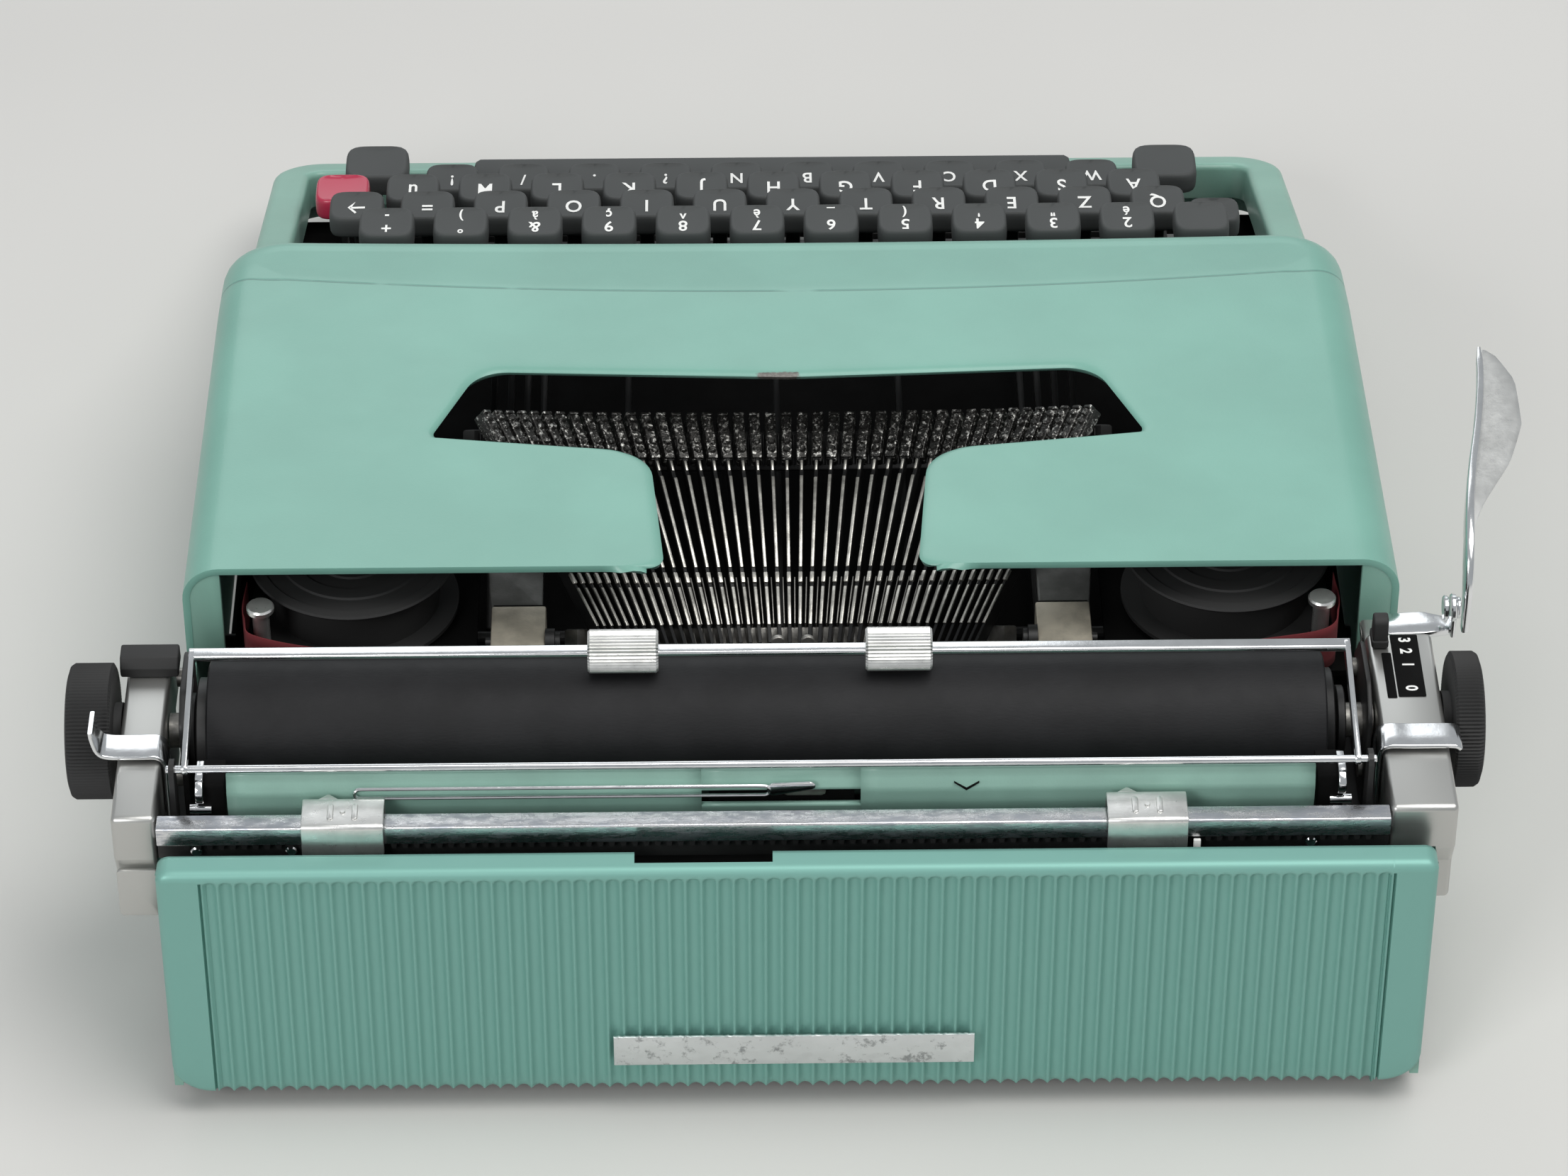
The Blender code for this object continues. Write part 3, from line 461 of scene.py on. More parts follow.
class Look(Enum):
    """The finishes of the machine."""

    COVER = CoverPaint("cover_paint", (0.180, 0.385, 0.318), 0.40, slot="teal_paint", mottle=0.05,
                       mottle_scale=22.0, smudge=0.05, grain=0.32, grain_scale=1300.0, coat=0.12)
    PANEL = FlutedPaintWithShade("panel_paint", (0.222, 0.505, 0.475), 0.38, slot="panel_paint",
                        mottle=0.07, mottle_scale=26.0, smudge=0.06, grain=0.25,
                        grain_scale=1300.0, coat=0.15, specks=0.255,
                        speck_colour=(0.06, 0.10, 0.09))
    SHELL = Finish("shell_paint", (0.215, 0.400, 0.330), 0.42, slot="teal_paint", mottle=0.06,
                   mottle_scale=30.0, smudge=0.06, grain=0.25, grain_scale=1300.0, coat=0.1)
    TABLE = Finish("table_paint", (0.26, 0.44, 0.37), 0.36, slot="teal_paint", mottle=0.08,
                   smudge=0.06, grain=0.2, coat=0.15)
    CHROME = Finish("chrome_plate", (0.80, 0.81, 0.82), 0.16, 1.0, "chrome", mottle=0.05,
                    mottle_scale=130.0, smudge=0.06, grain=0.10, grain_scale=700.0)
    RAIL = Streaked("streaked_plate", (0.74, 0.74, 0.75), 0.22, 1.0, "chrome", mottle=0.06,
                    smudge=0.05)
    NICKEL = Finish("nickel_plate", (0.74, 0.74, 0.72), 0.30, 0.9, "nickel", mottle=0.09,
                    mottle_scale=170.0, smudge=0.08, grain=0.2)
    CAST = Finish("cast_silver", (0.60, 0.60, 0.58), 0.52, 0.15, "cast_silver", mottle=0.06,
                  smudge=0.05, grain=0.5, grain_scale=1500.0, specks=0.24,
                  speck_colour=(0.20, 0.20, 0.19))
    STEEL = Finish("worn_steel", (0.30, 0.29, 0.27), 0.42, 0.85, "steel", mottle=0.3,
                   mottle_scale=160.0, smudge=0.12, grain=0.4)
    GREY = Finish("grey_plate", (0.23, 0.23, 0.22), 0.45, 0.5, "steel", mottle=0.25,
                  mottle_scale=120.0, smudge=0.1, grain=0.4)
    BRASSY = Finish("aged_nickel", (0.60, 0.55, 0.45), 0.40, 0.55, "nickel", mottle=0.2,
                    mottle_scale=150.0, smudge=0.1, grain=0.4)
    EDGE = Finish("bar_edge", (0.62, 0.60, 0.55), 0.34, 0.85, "steel", mottle=0.35,
                  mottle_scale=240.0, smudge=0.1, grain=0.3)
    BAR = Finish("bar_side", (0.018, 0.018, 0.018), 0.35, 0.6, "dark_steel", mottle=0.3,
                 smudge=0.1)
    TYPE = TypeSteel("type_metal", (0.035, 0.034, 0.032), 0.25, 0.7, "steel", mottle=0.3,
                     smudge=0.08)
    DARK = Finish("dark_steel_coat", (0.022, 0.022, 0.022), 0.48, 0.35, "dark_steel", mottle=0.3,
                  smudge=0.1)
    # Near-black: the real black of the line-space scale and the table's arrow, and painted shade on the
    # base pan, the spool deck and the table's backing blocks.
    BLACK_AND_SHADE = Finish("black_and_painted_shade", (0.004, 0.004, 0.004), 0.8, 0.0, "dark_steel", mottle=0.2,
                  shine=0.1)
    PLASTIC = Finish("black_plastic", (0.024, 0.024, 0.025), 0.42, 0.0, "black_plastic",
                     mottle=0.15, smudge=0.08, grain=0.3)
    KEY = Finish("key_plastic", (0.062, 0.063, 0.066), 0.46, 0.0, "key_plastic", mottle=0.16,
                 mottle_scale=260.0, smudge=0.08, grain=0.6, grain_scale=2200.0)
    RED = Finish("key_red", (0.46, 0.035, 0.085), 0.40, 0.0, "key_red", mottle=0.1,
                 mottle_scale=200.0, smudge=0.08, grain=0.4, grain_scale=2200.0)
    LEGEND = Finish("legend_white", (0.82, 0.82, 0.80), 0.5, 0.0, "key_plastic", mottle=0.03)
    RUBBER = Finish("platen_rubber", (0.011, 0.011, 0.012), 0.55, 0.0, "rubber", mottle=0.18,
                    shine=0.22, mottle_scale=70.0, smudge=0.06, grain=0.35,
                    grain_scale=1800.0, grain_stretch=(0.3, 1.0, 1.0))
    FOOT = Finish("foot_rubber", (0.018, 0.018, 0.019), 0.7, 0.0, "rubber", mottle=0.2)
    RIBBON = Weave("ribbon_cloth", (0.13, 0.012, 0.018), 0.85, 0.0, "ribbon_cloth", smudge=0.04)
    BADGE = Hammered("badge_metal", (0.66, 0.68, 0.68), 0.36, 0.85, "nickel", mottle=0.06,
                     smudge=0.08, grain=0.3, grain_scale=900.0)


# Geometry ------------------------------------------------------------------


class Axis(Enum):
    """Axis that an outline is extruded along; its value gives where x, y and height go."""

    X = (1, 2, 0)
    Y = (0, 2, 1)
    Z = (0, 1, 2)


def home() -> Vector:
    """Place of the body's own origin in the row's frame, in metres."""
    low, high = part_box("rear_panel")
    return Vector(((low.x + high.x) / 2, high.y - BODY_REAR * MM, 0.0))


@dataclass
class Form:
    """A grid of points (rows, columns, 3) in millimetres, skinned row by row.

    A closed form joins each row's end to its start, and caps close its first and
    last rows with flat faces.
    """

    points: Array
    closed: bool = True
    finish: int = 0

    def polygons(self) -> list[list[int]]:
        """Faces of the grid, turned outwards where the form is closed.

        Returns:
            Corner numbers of each face. Quads are (i, j), (i, j+1), (i+1, j+1), (i+1, j).
        """
        rows, columns = self.points.shape[:2]
        ids = np.arange(rows * columns).reshape(rows, columns)
        left = ids if self.closed else ids[:, :-1]
        right = np.roll(ids, -1, axis=1) if self.closed else ids[:, 1:]
        quads = np.stack([left[:-1], right[:-1], right[1:], left[1:]], axis=-1).reshape(-1, 4)
        caps = [ids[0, ::-1].tolist(), ids[-1].tolist()] if self.closed else []
        inside_out = False
        if caps:
            corners = self.points.reshape(-1, 3) - self.points.reshape(-1, 3).mean(axis=0)
            triangles = [quads[:, [0, 1, 2]], quads[:, [0, 2, 3]]]
            for cap in (ids[0, ::-1], ids[-1]):
                fan = np.full((columns - 2, 3), cap[0])
                fan[:, 1], fan[:, 2] = cap[1:-1], cap[2:]
                triangles.append(fan)
            a, b, c = (corners[np.concatenate(triangles)[:, i]] for i in range(3))
            inside_out = float(np.einsum("ij,ij->", a, np.cross(b, c))) < 0.0
        faces = quads.tolist() + caps
        return [face[::-1] for face in faces] if inside_out else faces

    def moved(self, matrix: Array) -> Form:
        """Copy of the form carried by a 4 x 4 matrix in millimetres."""
        turned_points = self.points @ matrix[:3, :3].T + matrix[:3, 3]
        return Form(turned_points, self.closed, self.finish)

    def dressed(self, finish: int) -> Form:
        """The same form with another of its piece's finishes."""
        self.finish = finish
        return self


def placed(flat: Array, height: Array | float, axis: Axis) -> Array:
    """Points whose outline lies across an axis and whose height runs along it.

    Args:
        flat: Outline points (..., 2).
        height: Place of each along the axis.
        axis: The axis.

    Returns:
        Points (..., 3).
    """
    spots = np.empty((*flat.shape[:-1], 3))
    first, second, third = axis.value
    spots[..., first] = flat[..., 0]
    spots[..., second] = flat[..., 1]
    spots[..., third] = height
    return spots


def unit(vectors: Array) -> Array:
    """Vectors of length one."""
    return vectors / np.maximum(np.linalg.norm(vectors, axis=-1, keepdims=True), 1e-9)


def rounded(corners: Sequence[Sequence[float]], steps: int = 6, closed: bool = True) -> Array:
    """Outline whose corners (x, y, radius) become arcs.

    Each arc runs between its two tangent points as
    (sin((1 - t) w) s + sin(t w) e) / sin w about its centre.

    Args:
        corners: Corners in order, with a radius of 0 for a sharp one.
        steps: Parts of each arc.
        closed: Whether the last corner leads back to the first.

    Returns:
        Points (k, 2).
    """
    given = np.array([(*corner, 0.0)[:3] for corner in corners], float)
    spots, radius = given[:, :2], given[:, 2:]
    if not closed:
        radius = radius * np.r_[0.0, np.ones(len(spots) - 2), 0.0][:, None]
    back = unit(np.roll(spots, 1, axis=0) - spots)
    ahead = unit(np.roll(spots, -1, axis=0) - spots)
    half = np.arccos(np.clip((back * ahead).sum(axis=1, keepdims=True), -0.9999, 0.9999)) / 2
    centre = spots + unit(back + ahead) * radius / np.sin(half)
    reach = radius / np.tan(half)
    start, end = spots + back * reach - centre, spots + ahead * reach - centre
    sweep = (math.pi - 2 * half)[:, None]
    share = np.linspace(0.0, 1.0, steps + 1)[None, :, None]
    arcs = np.sin((1 - share) * sweep) * start[:, None] + np.sin(share * sweep) * end[:, None]
    points = (centre[:, None] + arcs / np.sin(sweep)).reshape(-1, 2)
    gap = np.linalg.norm(points - np.roll(points, 1, axis=0), axis=1)
    keep = gap > 1e-5
    if not closed:
        keep[0] = True
    return points[keep]


def rectangle(low: Sequence[float], high: Sequence[float], radius: float, steps: int = 4) -> Array:
    """Rounded rectangle.

    Args:
        low: Lower corner (x, y).
        high: Upper corner (x, y).
        radius: Radius of its corners.
        steps: Parts of each arc.

    Returns:
        Points (k, 2).
    """
    radius = max(radius, 0.001)
    (x0, y0), (x1, y1) = low, high
    return rounded([(x0, y0, radius), (x1, y0, radius), (x1, y1, radius), (x0, y1, radius)], steps)


def ring(radius: float, steps: int = 16, centre: Sequence[float] = (0.0, 0.0)) -> Array:
    """Circle as a closed outline."""
    angle = np.arange(steps) * (2 * math.pi / steps)
    return np.stack([centre[0] + radius * np.cos(angle), centre[1] + radius * np.sin(angle)], -1)


def inset(outline: Array, distance: Array) -> Array:
    """Closed outline moved inwards, with mitre = (n + m) / (1 + n . m) of two edge normals.

    Args:
        outline: Points (k, 2).
        distance: Offsets (d,).

    Returns:
        One copy of the outline for each offset, (d, k, 2).
    """
    area = float(np.sum(outline[:, 0] * np.roll(outline[:, 1], -1)
                        - np.roll(outline[:, 0], -1) * outline[:, 1]))
    edge = unit(np.roll(outline, -1, axis=0) - outline)
    normal = np.stack([edge[:, 1], -edge[:, 0]], -1) * math.copysign(1.0, area)
    before = np.roll(normal, 1, axis=0)
    mitre = (normal + before) / np.maximum(1 + (normal * before).sum(1, keepdims=True), 0.3)
    return outline[None] - np.asarray(distance)[:, None, None] * mitre[None]


def plate(
    outline: Array,
    low: float,
    high: float,
    axis: Axis = Axis.Z,
    bevel: float = 0.3,
    rounds: int = 2,
) -> Form:
    """Flat solid between two heights, with edges rounded by quarter circles.

    Args:
        outline: Closed outline (k, 2).
        low: Lower height.
        high: Upper height.
        axis: Axis of the heights.
        bevel: Radius of the rounded edges.
        rounds: Parts of each quarter circle.

    Returns:
        The solid.
    """
    bevel = min(bevel, (high - low) / 2 * 0.98)
    turn = np.linspace(0.0, math.pi / 2, rounds + 1)
    drop = np.concatenate([bevel * (1 - np.sin(turn)), bevel * (1 - np.cos(turn))])
    lower, upper = low + bevel * (1 - np.cos(turn)), high - bevel * (1 - np.sin(turn))
    height = np.concatenate([lower, upper])
    return Form(placed(inset(outline, drop), height[:, None], axis))


def brick(
    low: Point, high: Point, radius: float = 0.4, axis: Axis = Axis.Z, bevel: float = 0.3
) -> Form:
    """Rounded block between two corners.

    Args:
        low: Lower corner.
        high: Upper corner.
        radius: Radius of the outline's corners.
        axis: Axis the outline lies across.
        bevel: Radius of the edges of its two ends.

    Returns:
        The block.
    """
    first, second, third = axis.value
    outline = rectangle((low[first], low[second]), (high[first], high[second]), radius)
    return plate(outline, low[third], high[third], axis, bevel)


def turned(
    profile: Sequence[Sequence[float]], centre: Sequence[float], axis: Axis, steps: int = 48,
    teeth: float = 0.0,
) -> Form:
    """Turned solid.

    Args:
        profile: Pairs (height, radius) along the axis.
        centre: Place of the axis.
        axis: Its direction.
        steps: Columns round it.
        teeth: How far every other column is sunk.

    Returns:
        The solid.
    """
    heights, radii = np.array(profile, float).T
    angle = np.arange(steps) * (2 * math.pi / steps)
    reach = radii[:, None] - teeth * (np.arange(steps) % 2)[None] * (radii[:, None] > 3.0)
    flat = np.stack([centre[0] + reach * np.cos(angle), centre[1] + reach * np.sin(angle)], -1)
    return Form(placed(flat, heights[:, None], axis))


def swept(section: Array, path: Sequence[Point], across: Array, scale: Array | None = None) -> Form:
    """Section (x, y) carried along a path: x along across, y along tangent x across.

    Args:
        section: Closed outline (m, 2).
        path: Points (n, 3).
        across: Direction of the section's x, one or one per point.
        scale: Factors (n, 2) on the section at each point.

    Returns:
        The capped solid.
    """
    line = np.array(path, float)
    tangent = unit(np.gradient(line, axis=0))
    side = np.broadcast_to(np.asarray(across, float), line.shape)
    side = unit(side - (side * tangent).sum(1, keepdims=True) * tangent)
    up = np.cross(tangent, side)
    sizes = np.ones((len(line), 2)) if scale is None else np.asarray(scale, float)
    x = section[None, :, 0, None] * sizes[:, None, 0, None]
    y = section[None, :, 1, None] * sizes[:, None, 1, None]
    return Form(line[:, None] + x * side[:, None] + y * up[:, None])


def smooth_path(points: Sequence[Point], count: int = 40) -> Array:
    """Catmull-Rom curve through given points, sampled evenly in its own parameter.

    Args:
        points: Points it goes through.
        count: How many samples.

    Returns:
        Points (count, 3).
    """
    spots = np.array(points, float)
    padded = np.vstack([2 * spots[0] - spots[1], spots, 2 * spots[-1] - spots[-2]])
    along = np.linspace(0.0, len(spots) - 1.000001, count)
    cell = along.astype(int)
    t = (along - cell)[:, None]
    a, b, c, d = (padded[cell + i] for i in range(4))
    return 0.5 * (2 * b + (c - a) * t + (2 * a - 5 * b + 4 * c - d) * t**2
                  + (3 * b - a - 3 * c + d) * t**3)


def along_line(line: Array, places: Array) -> Array:
    """Points at given lengths along a polyline."""
    length = np.r_[0.0, np.cumsum(np.linalg.norm(np.diff(line, axis=0), axis=1))]
    return np.stack([np.interp(places, length, line[:, i]) for i in range(line.shape[1])], -1)


def finer(line: Array, most: float) -> Array:
    """Polyline with its long runs divided.

    Args:
        line: Points (n, 2).
        most: Longest part allowed.

    Returns:
        Points (k, 2), with every given point kept.
    """
    gaps = np.linalg.norm(np.diff(line, axis=0), axis=1)
    counts = np.maximum(1, np.ceil(gaps / most)).astype(int)
    start = np.repeat(np.r_[0.0, np.cumsum(gaps)[:-1]], counts)
    size = np.repeat(gaps / counts, counts)
    order = np.arange(counts.sum()) - np.repeat(np.r_[0, np.cumsum(counts)[:-1]], counts)
    return along_line(line, np.r_[start + size * order, gaps.sum()])


@dataclass
class Piece:
    """One finished object: its forms, finishes, body and the CAD nodes it stands for."""

    name: str
    forms: list[Form]
    looks: Sequence[Look]
    body: str = "body"
    stands_for: Sequence[str] = ()
    wall: float = 0.0
    wall_side: float = -1.0
    bevel: float = 0.0
    sharp: float = SHARP

    def build(self) -> bpy.types.Object:
        """Make the mesh in the row's frame, dress it and hand it to its body.

        Returns:
            The object, at the origin.
        """
        shift = np.array(home())
        points, faces, finishes, start = [], [], [], 0
        for form in self.forms:
            cloud = form.points.reshape(-1, 3) * MM + shift
            polygons = form.polygons()
            faces += [[corner + start for corner in face] for face in polygons]
            finishes += [form.finish] * len(polygons)
            points.append(cloud)
            start += len(cloud)
        mesh = bpy.data.meshes.new(self.name)
        mesh.from_pydata(np.concatenate(points).tolist(), [], faces)
        mesh.polygons.foreach_set("material_index", finishes)
        for look in self.looks:
            mesh.materials.append(look.value.build())
        mesh.shade_smooth()
        mesh.set_sharp_from_angle(angle=math.radians(self.sharp))
        thing = bpy.data.objects.new(self.name, mesh)
        bpy.context.scene.collection.objects.link(thing)
        self.finish_edges(thing)
        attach(thing, self.body)
        if self.stands_for:
            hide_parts(*self.stands_for)
        LOG.info("%s: %d faces on %s", self.name, len(faces), self.body)
        return thing

    def finish_edges(self, thing: bpy.types.Object) -> None:
        """Add the wall and the rounded edges the piece asks for.

        Args:
            thing: Object of the piece.
        """
        if self.wall:
            solid = thing.modifiers.new("Wall", "SOLIDIFY")
            solid.thickness = self.wall * MM
            solid.offset = self.wall_side
        if self.bevel:
            edge = thing.modifiers.new("Edges", "BEVEL")
            edge.width = self.bevel * MM
            edge.segments = 2
            edge.limit_method = "ANGLE"
            edge.angle_limit = math.radians(BEVEL_ANGLE)


def lettering(text: str, height: float, matrix: Matrix) -> bpy.types.Mesh:
    """Flat letters as a mesh.

    Args:
        text: What it says.
        height: Height of a capital, in millimetres.
        matrix: Place of the text's middle, in the row's frame, in metres.

    Returns:
        The mesh, in place.
    """
    curve = bpy.data.curves.new("letters", "FONT")
    curve.body = text
    curve.size = height * MM / CAPITAL_SHARE
    curve.align_x = "CENTER"
    curve.align_y = "CENTER"
    curve.resolution_u = 4
    curve.offset = STROKE_EXTRA
    holder = bpy.data.objects.new("letters", curve)
    bpy.context.scene.collection.objects.link(holder)
    bpy.context.view_layer.update()
    graph = bpy.context.evaluated_depsgraph_get()
    mesh = bpy.data.meshes.new_from_object(holder.evaluated_get(graph))
    bpy.data.objects.remove(holder, do_unlink=True)
    mesh.transform(matrix)
    return mesh


def joined_letters(name: str, body: str, meshes: Sequence[bpy.types.Mesh]) -> None:
    """Join flat letters into one white piece.

    Args:
        name: Name of the piece.
        body: Body it moves with.
        meshes: Letters, which are used up.
    """
    points, faces, start = [], [], 0
    for mesh in meshes:
        spots = np.empty(len(mesh.vertices) * 3)
        mesh.vertices.foreach_get("co", spots)
        points.append(spots.reshape(-1, 3))
        faces += [[corner + start for corner in face.vertices] for face in mesh.polygons]
        start += len(mesh.vertices)
        bpy.data.meshes.remove(mesh)
    joined = bpy.data.meshes.new(name)
    joined.from_pydata(np.concatenate(points).tolist(), [], faces)
    joined.materials.append(Look.LEGEND.value.build())
    thing = bpy.data.objects.new(name, joined)
    bpy.context.scene.collection.objects.link(thing)
    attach(thing, body)
    LOG.info("%s: %d letters on %s", name, len(points), body)


# Shell -----------------------------------------------------------------------


@dataclass
class Shell:
    """Painted sheet-metal shell: fluted rear panel, cover, key frame and badge."""

    half: float = 141.5
    rear: float = BODY_REAR
    low: float = 6.0
    top: float = 72.5
    flutes: int = 74
    pitch: float = 3.55
    flute_half: float = 1.66
    flute_depth: float = 1.35
    arch: float = 68.6
    edge: float = 2.2
    cover_rear: float = 79.0
    cover_front: float = -75.0
    cover_low: float = 56.4
    cover_edge: float = 9.0
    slope_rear: float = 0.0635
    slope_front: float = 0.235
    cover_top: float = 84.0

    def panel_surface(self) -> Array:
        """Rear panel as a grid: rows run from the flange down to the turned-in foot.

        The face is y = rear - setback(row) - setback(column) - flute depth, where a
        flute's depth is D (1 - (r / a)^2) for r < a, and r is measured from its middle
        line, or from the arch's centre above it.

        Returns:
            Points (rows, columns, 3).
        """
        across = np.array([-1.775, -1.66, -1.3, -0.75, 0.0, 0.75, 1.3, 1.66])
        middles = (np.arange(self.flutes) - (self.flutes - 1) / 2) * self.pitch
        field_x = (middles[:, None] + across).ravel()
        seam = self.flutes * self.pitch / 2 + np.array([0.0, 0.1, 0.35, 0.6, 0.7])
        face_x = self.half - self.edge
        turn = np.linspace(0.0, math.pi / 2, 6)
        roll_x = face_x + self.edge * np.sin(turn)
        roll_in = self.edge * (1 - np.cos(turn))
        outer_x = np.r_[seam, np.linspace(133.0, face_x - 0.6, 5), roll_x, self.half, self.half]
        outer_in = np.r_[np.zeros(10), roll_in, 5.0, 9.5]
        notch_x = np.array([5.49, 5.51, 35.99, 36.01])
        x = np.r_[-outer_x[::-1], field_x, notch_x, outer_x]
        setback = np.r_[outer_in[::-1], np.zeros(len(field_x) + 4), outer_in]
        order = np.argsort(x[len(outer_x):-len(outer_x)]) + len(outer_x)
        x[len(outer_x):-len(outer_x)] = x[order]
        foot = np.maximum(np.abs(x) - (self.half - 9.0), 0.0)
        bottom = self.low + 9.0 - np.sqrt(np.maximum(81.0 - foot**2, 0.0))
        crown = np.maximum(np.abs(x) - (self.half - 3.0), 0.0)
        top = self.top - 3.0 + np.sqrt(np.maximum(9.0 - crown**2, 0.0))

        bend = np.linspace(0.0, math.pi / 2, 6)
        flange = np.array([6.5, 5.6, 4.6, 3.4])
        row_in = np.r_[flange, self.edge * (1 - np.sin(bend))]
        above = np.r_[np.zeros(4), self.edge * (1 - np.cos(bend))]
        rows_top = top[None] - above[:, None]
        spans = self.arch + np.array([1.55, 1.35, 1.1, 0.8, 0.4, 0.0])
        high = np.minimum(spans[:, None], rows_top[-1][None] - np.linspace(0.05, 0.5, 6)[:, None])
        runs = np.linspace(0.0, 1.0, 14)[1:, None]
        start, end = high[-1][None], bottom[None] + self.edge
        rows_face = start + (end - start) * runs
        under = np.linspace(0.0, math.pi / 2, 5)[1:]
        rows_under = bottom[None] + self.edge * (1 - np.sin(under))[:, None]
        z = np.vstack([rows_top, high, rows_face, rows_under, bottom[None]])
        row_setback = np.r_[row_in, np.zeros(19), self.edge * (1 - np.cos(under)), 6.0]
        inside = np.maximum(row_setback[:, None], setback[None])
        in_notch = (x > 5.5) & (x < 36.0)
        for row, reach in enumerate((2.9, 2.8, 2.7, 2.6)):
            inside[row] = np.where(in_notch, np.minimum(inside[row], reach), inside[row])

        nearest = middles[np.argmin(np.abs(x[:, None] - middles[None]), axis=1)]
        side = np.abs(x - nearest)
        reach = np.hypot(side[None], np.maximum(z - self.arch, 0.0))
        depth = self.flute_depth * np.clip(1 - (reach / self.flute_half) ** 2, 0.0, 1.0)
        fluted = (np.abs(x) < self.flutes * self.pitch / 2)[None] & (row_setback[:, None] < 4.0)
        seams = np.interp(np.abs(x), seam, [0.0, 0.55, 0.9, 0.55, 0.0], 0.0, 0.0)
        in_face = z < self.top - 2.6
        inside = inside + np.where(fluted, depth, 0.0) + np.where(in_face, seams[None], 0.0)
        return np.stack([np.broadcast_to(x, z.shape), self.rear - inside, z], axis=-1)

    def height(self, x: Array, y: Array) -> Array:
        """Top of the cover: a plane falling forwards, steeper ahead of the pressed line.

        The change of slope is eased as (d + sqrt(d^2 + 4)) / 2 of the distance d ahead of it.

        Args:
            x: Places across.
            y: Places along the machine.

        Returns:
            Heights.
        """
        plane = self.cover_top - (self.cover_rear - y) * self.slope_rear
        ahead = (LINE_MIDDLE - LINE_SWEEP * (x / LINE_HALF) ** 2) - y
        eased = 0.5 * (ahead + np.sqrt(ahead**2 + 4.0))
        return plane - (self.slope_front - self.slope_rear) * eased

    def cover_surface(self) -> Array:
        """Cover from the edge of its opening, over the top and down the rolled sides.

        A point of the flat top lies at inner + (outer - inner) t. Past the outer line it
        rolls over as edge * sin(a) outwards and edge * (1 - cos(a)) down, then drops.

        Returns:
            Points (rows, columns, 3), rows going outwards.
        """
        rear = self.cover_rear
        inner = rounded([(33.6, rear), (29.4, rear, 4.1), (33.2, 31.0, 12.0), (86.0, 24.5, 2.6),
                         (75.0, -5.0, 10.0), (0.0, -1.6)], 9, closed=False)
        inner = finer(inner, 2.4)
        flat = self.half - self.cover_edge
        front = self.cover_front + self.cover_edge
        outer = finer(rounded([(flat, rear), (flat, front, 7.0), (0.0, front)], 9, closed=False), 1.5)
        lengths = np.r_[0.0, np.cumsum(np.linalg.norm(np.diff(inner, axis=0), axis=1))]
        total = np.linalg.norm(np.diff(outer, axis=0), axis=1).sum()
        side = rear - front
        marks = [0.0, 46.0, 110.0, 118.0, lengths[-1] - 82.0, lengths[-1] - 68.0, lengths[-1]]
        goals = [0.0, 30.0, 62.0, 72.0, side - 12.0, side + 4.0, total]
        outer = along_line(outer, np.interp(lengths, marks, goals))
        mirror = np.array([-1.0, 1.0])
        inner = np.vstack([inner[:-1], (inner * mirror)[::-1]])
        outer = np.vstack([outer[:-1], (outer * mirror)[::-1]])
        share = np.r_[0.0, 0.012, 0.03, np.linspace(0.06, 1.0, 44)][:, None, None]
        plan = inner[None] + (outer - inner)[None] * share
        lip = 0.9 * np.exp(-share[..., 0] * 80.0)
        top = self.height(plan[..., 0], plan[..., 1]) - lip
        along = np.gradient(outer, axis=0)
        normal = unit(np.stack([-along[:, 1], along[:, 0]], -1))
        normal *= np.sign((normal * outer).sum(1, keepdims=True) + 1e-9)
        normal[np.abs(outer[:, 1] - rear) < 0.5] *= np.array([1.0, 0.0])
        normal = unit(normal)
        angle = np.linspace(0.0, math.pi / 2, 11)[1:, None]
        rolled = outer[None] + normal[None] * (self.cover_edge * np.sin(angle))[..., None]
        over = self.height(outer[:, 0], outer[:, 1])[None]
        rolled_z = over - self.cover_edge * (1 - np.cos(angle))
        drop = np.linspace(0.0, 1.0, 5)[1:, None]
        skirt = np.repeat(rolled[-1:], 4, axis=0)
        skirt_z = rolled_z[-1:] + (self.cover_low - rolled_z[-1:]) * drop
        flat_plan = np.concatenate([plan, rolled, skirt])
        heights = np.concatenate([top, rolled_z, skirt_z])
        return np.concatenate([flat_plan, heights[..., None]], axis=-1)

    def rear_flange(self, side: float) -> Form:
        """Upright flange that closes the cover's rear corner, its top following the roll.

        Args:
            side: 1 for the right and -1 for the left.

        Returns:
            The flange.
        """
        angle = np.linspace(0.0, math.pi / 2, 8)
        crest = self.cover_top - 0.35
        arc_x = self.half - self.cover_edge + (self.cover_edge - 0.3) * np.sin(angle)
        arc_z = crest - self.cover_edge + (self.cover_edge - 0.3) * np.cos(angle)
        outline = np.vstack([[132.5, crest - 1.6], np.stack([arc_x, arc_z], -1)[1:],
                             [self.half - 0.3, self.cover_low + 0.4], [132.5, self.cover_low + 0.4]])
        return plate(outline * np.array([side, 1.0]), self.cover_rear - 1.9, self.cover_rear - 0.1,
                     Axis.Y, 0.35)

